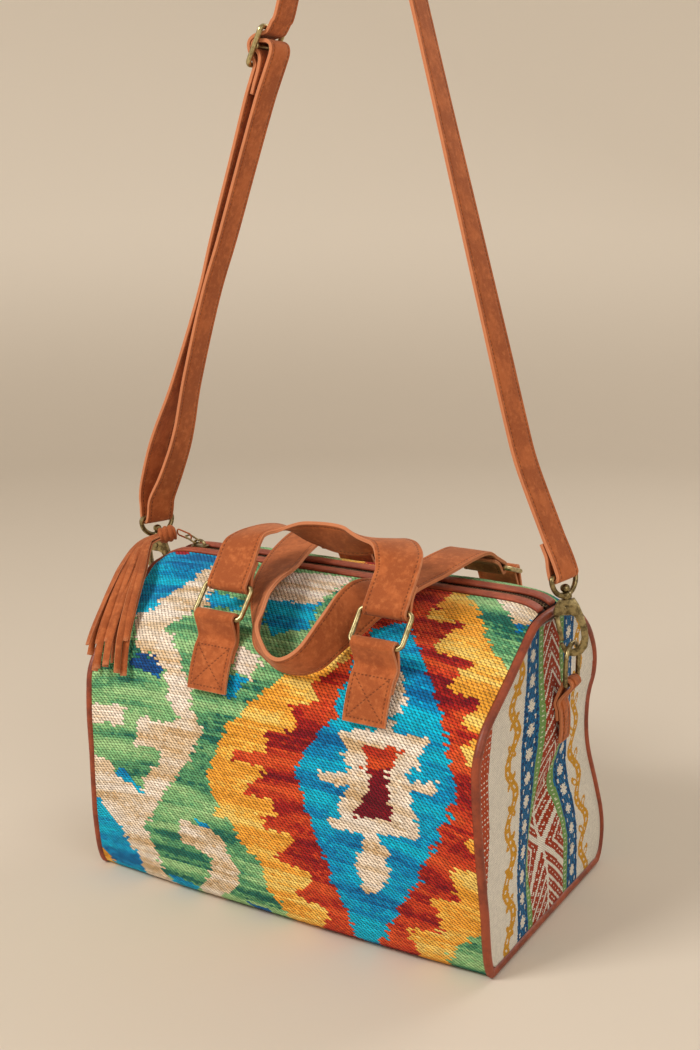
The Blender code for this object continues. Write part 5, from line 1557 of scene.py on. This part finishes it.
def loop_path(face: Array, bar: Array, reach: float, thick: float, out: Array, clear: float) -> Array:
    """Sewn foot, loop round a bar and tail between foot and face, from the foot's low end.

    Args:
        face: Points on the cloth.
        bar: Centre of the bar.
        reach: Distance of the curl from the bar.
        thick: Thickness in metres.
        out: Direction away from the cloth.
        clear: Gap to the cloth.

    Returns:
        The tab's centre line.
    """
    t = tangents(face)
    normal = unit(np.cross(t, np.cross(out, t)))
    foot = face + normal * (1.5 * thick + 0.0007 + clear)
    up = unit(bar - foot[-1])
    off = unit(np.cross(up, np.cross(out, up)))
    ang = np.radians((0, 36, 72, 108, 144, 176))[:, None]
    curl = bar + reach * (off * np.cos(ang) + up * np.sin(ang))
    tail = (foot - normal * (thick + 0.0007))[:-4:-1]
    return np.vstack([smooth_rows(np.vstack([foot, curl[:1]]), 2)[:-1], curl,
                      smooth_rows(np.vstack([curl[-1:], tail]), 2)[1:]])


@dataclass
class RingHandle:
    """One ring handle with its two rings and leather tabs."""

    shape: BodyShape
    face: str
    side: int
    low: tuple[float, float]
    lean: tuple[float, float]
    away: tuple[float, float, float]
    middle: tuple[tuple[float, ...], ...]
    tab_w: float = 0.034
    tab_t: float = 0.0026
    wire: float = 0.0019
    thick: float = 0.0030
    fold: float = 0.0205
    places: tuple[float, float] = (-0.048, 0.085)

    def build(self, wardrobe: Wardrobe) -> None:
        """Build tabs, rings and the strap.

        Args:
            wardrobe: Materials of the bag.
        """
        for word, x in zip(("left", "right"), self.places):
            self.tab(f"{self.face}_{word}", x, wardrobe)
            self.ring(f"{self.face}_{word}", x, wardrobe)
        rows = smooth_rows(self.rows(), 4)
        strap = ribbon(rows[:, :3], rows[:, 3:], self.tab_w, self.thick)
        obj = strap.build(self.face + "_handle_strap", wardrobe.suede_handle)
        settle(obj, self.face + "_handle_body", Slot.SUEDE, self.face + "_handle")

    def bars(self) -> tuple[Array, Array, Array]:
        """Return the lower bar, the upper bar and the lean between them."""
        low = np.array((0, *self.low))
        lean = unit(np.array((0, *self.lean)))
        return low, low + lean * 0.027, lean

    def ring(self, name: str, x: float, wardrobe: Wardrobe) -> None:
        """Build one rectangular wire ring.

        Args:
            name: First words of its name.
            x: Place along the bag.
            wardrobe: Materials of the bag.
        """
        low, high, lean = self.bars()
        flat = rounded(0.0205, 0.0135, 0.0042, 8)
        path = (low + high) / 2 + np.array((x, 0, 0)) + flat[:, :1] * np.array((1.0, 0, 0)) + flat[:,
                1:] * lean
        normal = np.cross((1, 0, 0), lean)
        wire = tube(resampled(path, 160), self.wire, normal, 20)
        settle(wire.build(name + "_wire", wardrobe.pale), self.face + "_rings", Slot.PALE, name + "_ring")

    def tab(self, name: str, x: float, wardrobe: Wardrobe) -> None:
        """Build one tab: a foot sewn to the wrap and a loop round the ring.

        Args:
            name: First words of its name.
            x: Place along the bag.
            wardrobe: Materials of the bag.
        """
        low, _, _ = self.bars()
        face = []
        for z in np.linspace(0.177, 0.2125, 6):
            far = max(abs(self.shape.face_point(x + d, self.side, z)[1])
                      for d in (-self.tab_w / 2, 0, self.tab_w / 2))
            face.append((x, self.side * far, z))
        bar = low + np.array((x, 0, 0))
        out = np.array((0, self.side * 1.0, 0.5))
        path = loop_path(np.array(face), bar, self.wire + 0.0006 + self.tab_t / 2, self.tab_t, out,
                         0.0010 if self.side < 0 else 0.0004)
        strap = ribbon(smooth_rows(path, 4), (1, 0, 0), self.tab_w, self.tab_t)
        settle(strap.build(name + "_tab_leather", wardrobe.suede_tab), "bag", Slot.SUEDE, name + "_tab")

    def folded_end(self, bar: Array, inner: Array, away: Array) -> Array:
        """Strap end folded round a bar, from its tail to the outer layer.

        Args:
            bar: Centre of the bar.
            inner: Direction to the bag's middle.
            away: Direction away from the bar.

        Returns:
            Points of the fold.
        """
        reach = self.wire + 0.0005 + self.thick / 2
        tuck = self.thick + 0.0006
        spots = [(s, tuck - reach) for s in (self.fold, 0.017, 0.012)] + [(0.0075, tuck - reach + 0.0012)]
        ang = np.radians((20, -10, -40, -70, -100, -130, -160, -185))
        spots += list(zip(reach * np.sin(ang), reach * np.cos(ang))) + [(0.008, -reach), (0.0165, -reach)]
        return np.array([bar + away * a + inner * b for a, b in spots])

    def rows(self) -> Array:
        """Centre line and broad direction of the whole strap.

        Returns:
            One row of point and direction for each step.
        """
        _, high, _ = self.bars()
        away = unit(np.array(self.away))
        inner = np.cross((1, 0, 0), away)
        inner = inner if inner[1] * self.side < 0 else -inner
        first, last = (self.folded_end(high + np.array((x, 0, 0)), inner, away) for x in self.places)
        front = np.hstack([first, np.tile((1.0, 0, 0), (len(first), 1))])
        back = np.hstack([last[::-1], np.tile((-1.0, 0, 0), (len(last), 1))])
        rows = np.vstack([front, np.array(self.middle, float), back])
        n = len(first)
        free = smooth_rows(rows[n - 2:-(n - 2)], 4)[4:-4]
        return np.vstack([rows[:n - 1], free, rows[-(n - 1):]])


def resampled(path: Array, count: int, loop: bool = True) -> Array:
    """Return points at even steps along a path."""
    line = np.vstack([path, path[:1]]) if loop else path
    run = arc(line)
    at = np.linspace(0, run[-1], count, endpoint=not loop)
    return np.stack([np.interp(at, run, line[:, k]) for k in range(3)], axis=1)


# ---------------------------------------------------------------- strap, hooks and rings


D_RING_X = 0.1865  # distance of both D rings from the middle


@dataclass
class HookFrame:
    """Place and directions of a snap hook that hangs in the bow of its D ring, in millimetres of its own."""

    side: Side
    turn: float
    lean: tuple[float, float] = (-2.5, -10.5)
    d_x: float = D_RING_X
    bow_z: float = 0.2193
    seat: float = 0.0097

    def axes(self) -> tuple[Array, Array, Array, Array]:
        """Return the origin and the hook's own x, y and up directions."""
        lean = math.radians(self.lean[0 if self.side is Side.LEFT else 1])
        up = np.array((math.sin(lean), 0, math.cos(lean)))
        across = np.array((math.cos(lean), 0, -math.sin(lean)))
        turn = math.radians(self.turn)
        own_x = across * math.cos(turn) + np.array((0, 1, 0)) * math.sin(turn)
        origin = np.array((self.side.value * self.d_x, 0, self.bow_z)) - up * self.seat
        return origin, own_x, np.cross(up, own_x), up

    def point(self, x: Array, y: Array, z: Array) -> Array:
        """Turn the hook's own millimetres into the frame."""
        origin, own_x, own_y, up = self.axes()
        x, y, z = (np.asarray(v, float)[..., None] * 0.001 for v in (x, y, z))
        return origin + own_x * x + own_y * y + up * z


@dataclass
class StrapEnd:
    """D ring on its leather tab, with the swivel snap hook and the strap's eye."""

    shape: BodyShape
    side: Side
    d_r: float = 0.0120
    d_wire: float = 0.0017
    d_leg: float = 0.018
    d_z: float = 0.2073
    eye_turns: tuple[float, float] = (70.0, 78.0)

    @property
    def word(self) -> str:
        """Return the word of the side."""
        return self.side.word

    def build(self, wardrobe: Wardrobe) -> None:
        """Build every piece of this end.

        Args:
            wardrobe: Materials of the bag.
        """
        self.d_ring(wardrobe)
        self.d_tab(wardrobe)
        self.eye(wardrobe)
        for part, body in (("hook", "hook_body"), ("gate", "gate_body"), ("gate_pin", "hook_body")):
            obj = refined(f"{self.word}_{part}", 0.0004 if part == "hook" else 0.0002)
            obj.data.materials.append(wardrobe.antique)
            settle(obj, f"{self.word}_{body}", Slot.ANTIQUE, f"{self.word}_{part}")

    def d_ring(self, wardrobe: Wardrobe) -> None:
        """Build the D ring: a straight bar below and a round bow above.

        Args:
            wardrobe: Materials of the bag.
        """
        x = self.side.value * D_RING_X
        low = self.d_z - self.d_leg
        ang = np.linspace(0, math.pi, 49)
        bow = np.stack([np.full_like(ang, x), self.d_r * np.cos(ang), self.d_z + self.d_r * np.sin(ang)],
                       axis=1)
        turn = np.radians(np.linspace(0, 90, 9))
        left = np.stack([np.full_like(turn, x), -self.d_r + 0.003 * (1 - np.cos(turn)),
                         low + 0.003 * (1 - np.sin(turn))], axis=1)
        right = (left * (1, -1, 1))[::-1]
        path = resampled(np.vstack([bow, left, right]), 150)
        settle(tube(path, self.d_wire, (1, 0, 0), 20).build(self.word + "_d_wire", wardrobe.antique),
               self.word + "_d", Slot.ANTIQUE,
               self.word + "_d_ring")

    def d_tab(self, wardrobe: Wardrobe) -> None:
        """Build the leather tab that carries the D ring.

        Args:
            wardrobe: Materials of the bag.
        """
        thick, width, sign = 0.0022, 0.0170, self.side.value
        face = []
        for z in (0.145, 0.153, 0.161, 0.169, 0.175):
            far = max(abs(float(self.shape.gusset_x(sign, y, z))) for y in (-width / 2, 0.0, width / 2))
            face.append((sign * far, 0, z))
        bar = np.array((sign * D_RING_X, 0, self.d_z - self.d_leg))
        path = loop_path(np.array(face), bar, self.d_wire + 0.0006 + thick / 2, thick,
                         np.array((sign * 1.0, 0, 0)), 0.0006)
        strap = ribbon(smooth_rows(path, 4), (0, 1, 0), width, thick)
        settle(strap.build(self.word + "_d_tab_leather", wardrobe.suede_d_tab), "bag", Slot.SUEDE,
               self.word + "_d_tab")

    def eye_frame(self) -> HookFrame:
        """Return the frame of the strap's eye, which is turned further than the hook."""
        return HookFrame(self.side, self.eye_turns[0 if self.side is Side.LEFT else 1])

    def eye(self, wardrobe: Wardrobe) -> None:
        """Build the eye: straight bar above a round bow, and the collar that turns on the hook's post.

        Args:
            wardrobe: Materials of the bag.
        """
        frame = self.eye_frame()
        high, low, half = 57.5, 44.7, 14.9
        bend = np.radians(np.linspace(0, 80, 9))
        bar = np.stack([11.9 + 3 * np.sin(bend), high + 3 * np.cos(bend)], axis=1)
        sweep = np.radians(np.linspace(0, 90, 25))
        bow = np.stack([half * np.cos(sweep), high - (high - low) * np.sin(sweep)], axis=1)
        line = np.vstack([bar, bow])
        line = np.vstack([line, (line[-2::-1]) * (-1, 1)])
        path = resampled(frame.point(line[:, 0], 0 * line[:, 0], line[:, 1]), 170)
        origin, own_x, own_y, up = frame.axes()
        wire = tube(path, 0.0019, own_y, 20)
        collar = np.array(((2.4, 42.6), (3.4, 42.6), (3.9, 42.9), (4.15, 43.4), (4.15, 45.8), (3.9, 46.4),
                           (3.4, 46.9), (2.4, 46.9))) * 0.001
        wire = wire.joined(turned(collar, origin, (own_x, own_y, up), closed=True))
        settle(wire.build(self.word + "_eye_wire", wardrobe.antique), "strap", Slot.ANTIQUE,
               self.word + "_swivel_eye")


@dataclass
class ShoulderStrap:
    """Long adjustable strap: doubled with a slider on the left, plain on the right."""

    width: float = 0.025
    thick: float = 0.0028
    at: tuple[float, float] = (-0.0715, 0.6395)
    tilt: float = math.radians(25.8)
    zs: tuple[float, ...] = (.290, .305, .330, .350, .371, .391, .434, .466, .50, .558, .600)
    gaps: tuple[float, ...] = (.0085, .0106, .0116, .0100, .0070, .0050, .0025, .0019, .0034, .0040, .0048)
    fold: tuple[tuple[float, float], ...] = (
        (-33, 9.9), (-24, 8.7), (-14.5, 7.8), (-7, 5.8), (-3.7, 2.2), (-3.0, -2.9), (0, -4.15), (3.0, -2.9),
        (4.2, .4),
        (5.4, 3.4), (6.4, 6.6), (5.4, 10.4), (1.0, 12.8), (-7, 13.5), (-20, 14.0))
    through: tuple[tuple[float, float], ...] = (
        (-24, 4.8), (-14.5, 4.1), (-11.5, 2.7), (-5.6, -4.9), (0, -7.6), (5.6, -4.9), (11.5, 2.7),
        (14.5, 4.1), (20, 4.8), (29, 5.4))

    def build(self, ends: dict[Side, StrapEnd], wardrobe: Wardrobe) -> None:
        """Build the strap and its slider.

        Args:
            ends: Strap end of each side.
            wardrobe: Materials of the bag.
        """
        rows = smooth_rows(self.rows(ends), 6)
        obj = ribbon(rows[:, :3], rows[:, 3:], self.width, self.thick).build("long_strap",
                wardrobe.suede_strap)
        settle(obj, "strap", Slot.SUEDE, "shoulder_strap")
        flat = rounded(14.5, 15.2, 3.4, 8)
        path = np.array([self.local(t, 0)[:3] for t in flat[:, 0]])
        path[:, 1] = flat[:, 1] / 1000
        out = np.array(self.local(0, 1)[:3]) - np.array(self.local(0, 0)[:3])
        wire = tube(resampled(path, 150), 0.0020, out, 20)
        centre = np.array((self.at[0], 0, self.at[1]))
        bar = centre + np.linspace(-0.0152, 0.0152, 9)[:, None] * np.array((0, 1, 0))
        wire = wire.joined(tube(bar, 0.0017, out, 20, loop=False))
        for sign in (-1, 1):
            collar = centre + (sign * np.array((0.0118, 0.0124, 0.0136, 0.0142)))[:,
                    None] * np.array((0, 1, 0))
            wire = wire.joined(tube(collar, np.array((0.0020, 0.0025, 0.0025, 0.0020)), out, 20, loop=False))
        settle(wire.build("strap_slider_wire", wardrobe.pale), "strap", Slot.PALE, "strap_slider")

    def local(self, t: float, n: float) -> tuple[float, ...]:
        """Row by the slider in millimetres: t along its frame, n out of it."""
        c, s = math.cos(self.tilt) / 1000, math.sin(self.tilt) / 1000
        return (self.at[0] + t * s + n * c, 0.0, self.at[1] + t * c - n * s, 0, 1, 0)

    def middle(self, side: Side, z: float, ends: dict[Side, StrapEnd]) -> float:
        """Line between both strands on the left, or of the single strand on the right."""
        eye = ends[side].eye_frame().point(0, 0, 60.5)
        left = ((eye[2], 0.290, 0.306, 0.325, 1.0), (eye[0], -0.1862, -0.1815, -0.1748, 0.0608))
        right = ((eye[2], 0.300, 0.330, 0.360, 1.0), (eye[0], 0.1655, 0.1525, 0.1418, -0.0393))
        return float(np.interp(z, *(left if side is Side.LEFT else right)))

    def strand(self, side: Side, z: float, off: float, ends: dict[Side, StrapEnd]) -> tuple[float, ...]:
        """Row of a strand: its point at height z, off from the middle line, and its broad direction."""
        twist = ((0.272, 0.31, 0.36), (-20.0, -11.0, 0.0)) if side is Side.LEFT else ((0.28, 0.40, 0.62,
                0.70), (-12.0, -13.0, -1.0, 0.0))
        a = math.radians(float(np.interp(z, *twist)))
        return (self.middle(side, z, ends) + off * math.cos(a), off * math.sin(a), z, -math.sin(a),
                math.cos(a), 0)

    def end_rows(self, side: Side, spots: list[tuple[float, float]],
                 ends: dict[Side, StrapEnd]) -> list[tuple[float, ...]]:
        """Rows round the bar of a strap eye, from pairs along and off."""
        frame = ends[side].eye_frame()
        bar, wide = frame.point(0, 0, 60.5), frame.axes()[1]
        along = np.array((0.14 if side is Side.LEFT else -0.42, 0, 1.0))
        along = unit(along - wide * (along @ wide))
        off = np.cross(wide, along)
        return [(*(bar + along * a / 1000 + off * b / 1000), *wide) for a, b in spots]

    def rows(self, ends: dict[Side, StrapEnd]) -> Array:
        """Centre line and broad direction of the whole strap, from the fold at the slider to the right end.

        Args:
            ends: Strap end of each side.

        Returns:
            One row of point and direction for each step.
        """
        left, right = Side.LEFT, Side.RIGHT
        reach = (0.0019 + 0.0004 + self.thick / 2) * 1000
        rows = [self.local(t, n) for t, n in self.fold]
        rows += [self.strand(left, z, float(np.interp(z, self.zs, self.gaps)), ends) for z in self.zs[:0:-1]]
        rows += self.end_rows(left, [(18, 7.6), (8, 6.0), (2, 5.2), (-2.2, 3.4), (-reach, 0), (-2.2, -3.4),
                                     (2, -5.2), (8, -6.0),
                                     (18, -7.6)], ends)
        rows += [self.strand(left, z, -float(np.interp(z, self.zs, self.gaps)), ends) for z in self.zs[1:]]
        rows += [self.local(t, n) for t, n in self.through]
        ang = np.radians(np.linspace(160.8, 15.8, 9))
        rows += [(0.0009 + 0.045 * math.cos(a), 0, 0.692 + 0.045 * math.sin(a), 0, 1, 0) for a in ang]
        rows += [self.strand(right, z, 0.0, ends) for z in (0.66, 0.60, 0.54, 0.48, 0.42, 0.375, 0.345)]
        rows += self.end_rows(right, [(36, 1.4), (26, 2.0), (17, 3.0), (8, 3.7)], ends)
        curl = np.radians((0, -36, -72, -108, -144, -180))
        rows += self.end_rows(right, [(reach * math.sin(a), reach * math.cos(a)) for a in curl], ends)
        rows += self.end_rows(right, [(7, -2.6), (14, -0.9), (20, -1.1), (25, -1.5)], ends)
        return np.array(rows, float)


# ---------------------------------------------------------------- studio


@dataclass
class Studio:
    """Pale floor, soft lamps and the camera of the photograph."""

    floor: Colour = linear((214, 202, 186))
    sky: Colour = linear((206, 197, 184))
    reach: float = 4.2
    flat: float = 1.9
    rings: int = 64
    spokes: int = 96
    target: tuple[float, float, float] = (0, 0, 0.18)
    lens: float = 47.26
    place: tuple[float, float, float] = (0.5296, -0.8945, 0.5227)
    down: float = 12.9243
    azimuth: float = 30.5856

    def build(self) -> None:
        """Build the floor, the world, the lamps and the camera."""
        self.ground()
        self.world()
        self.lamp("key", (-0.9, -1.7, 1.8), 0.8, 40.0, (1.0, 0.97, 0.93))
        self.lamp("fill", (1.7, -0.9, 1.1), 1.4, 11.0, (1.0, 0.98, 0.96))
        self.lamp("rim", (0.6, 1.6, 1.6), 1.0, 12.0, (1.0, 0.98, 0.95))
        self.camera()

    def ground(self) -> None:
        """Build the floor: a round dish, flat in the middle, whose height grows with the square of the radius beyond."""
        radius = np.linspace(0.0, self.reach, self.rings)[:, None] + 0.001
        angle = (np.arange(self.spokes) * 2 * math.pi / self.spokes)[None]
        rise = 1.5 * (np.clip(radius - self.flat, 0, None) / 1.7) ** 2 - 0.0006
        verts = np.stack([radius * np.cos(angle), radius * np.sin(angle),
                          np.broadcast_to(rise, (self.rings, self.spokes))], axis=-1)
        mat, n, bsdf = open_material("studio_floor")
        place = n.add("ShaderNodeTexCoord").outputs["Object"]
        height = n.add("ShaderNodeSeparateXYZ", {0: place}).outputs[2]
        tone = n.mix(n.math("MULTIPLY", n.noise(place, 2.0, 3), 0.12), self.floor, linear((196, 182, 164)))
        # Painted light: the backdrop is coloured paler as it rises, standing in for more light on the wall; the
        # mottling above is random tone.
        tone = n.mix(n.ramp(height, 0.0, 0.5), tone, linear((250, 240, 226)))
        n.feed(bsdf.inputs["Base Color"], tone)
        bsdf.inputs["Roughness"].default_value = 0.8
        faces = [Surface.grid(self.rings, self.spokes, wrap_m=True)[:, ::-1], np.arange(self.spokes)]
        obj = Surface(verts.reshape(-1, 3), faces).build("studio_floor", mat, fix=False)

    def world(self) -> None:
        """Light the scene evenly from a pale sky."""
        world = bpy.data.worlds.new("studio")
        bpy.context.scene.world = world
        world.use_nodes = True
        back = world.node_tree.nodes["Background"]
        back.inputs[0].default_value = (*self.sky, 1.0)
        n = Nodes(world.node_tree)
        path = n.add("ShaderNodeLightPath").outputs
        seen = n.math("MAXIMUM", path["Is Camera Ray"], n.math("MAXIMUM", path["Is Glossy Ray"],
                path["Is Transmission Ray"]))
        n.feed(back.inputs[1], n.math("ADD", 0.68, n.math("MULTIPLY", seen, 0.27)))

    def lamp(self, name: str, at: tuple[float, float, float], size: float, power: float,
             colour: Colour) -> None:
        """Place one square lamp that looks at the bag."""
        data = bpy.data.lights.new(name, "AREA")
        data.size, data.energy, data.color = size, power, colour
        obj = bpy.data.objects.new(name, data)
        bpy.context.scene.collection.objects.link(obj)
        obj.location = at
        aim = Vector(self.target) - Vector(at)
        obj.rotation_euler = aim.to_track_quat("-Z", "Y").to_euler()

    def camera(self) -> None:
        """Set the camera at the photograph's place and angle."""
        data = bpy.data.cameras.new("camera")
        data.lens, data.sensor_width, data.clip_start = self.lens, 36.0, 0.01
        obj = bpy.data.objects.new("camera", data)
        bpy.context.scene.collection.objects.link(obj)
        obj.location = self.place
        obj.rotation_euler = (math.radians(90 - self.down), 0, math.radians(self.azimuth))
        bpy.context.scene.camera = obj


def main() -> None:
    """Build the whole scene in order."""
    logging.basicConfig(level=logging.INFO, format="%(message)s", stream=sys.stdout)
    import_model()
    bpy.context.scene.view_settings.view_transform = "Standard"
    wardrobe, shape = Wardrobe(), BodyShape()
    Studio().build()
    WrapPanel(shape, KilimPattern()).build(wardrobe)
    for side in Side:
        Gusset(shape, side).build(wardrobe)
    ZipTop(shape).build(wardrobe)
    Tassel().build(wardrobe)
    RingHandle(shape, "front", -1, (-0.1095, 0.2310), (0.65, 0.76), (0, 0.62, 0.785),
               FRONT_MIDDLE).build(wardrobe)
    RingHandle(shape, "rear", 1, (0.0930, 0.2400), (-0.95, 0.31), (0, -0.90, 0.44),
               REAR_MIDDLE).build(wardrobe)
    ends = {side: StrapEnd(shape, side) for side in Side}
    for end in ends.values():
        end.build(wardrobe)
    ShoulderStrap().build(ends, wardrobe)


if __name__ == "__main__":
    main()
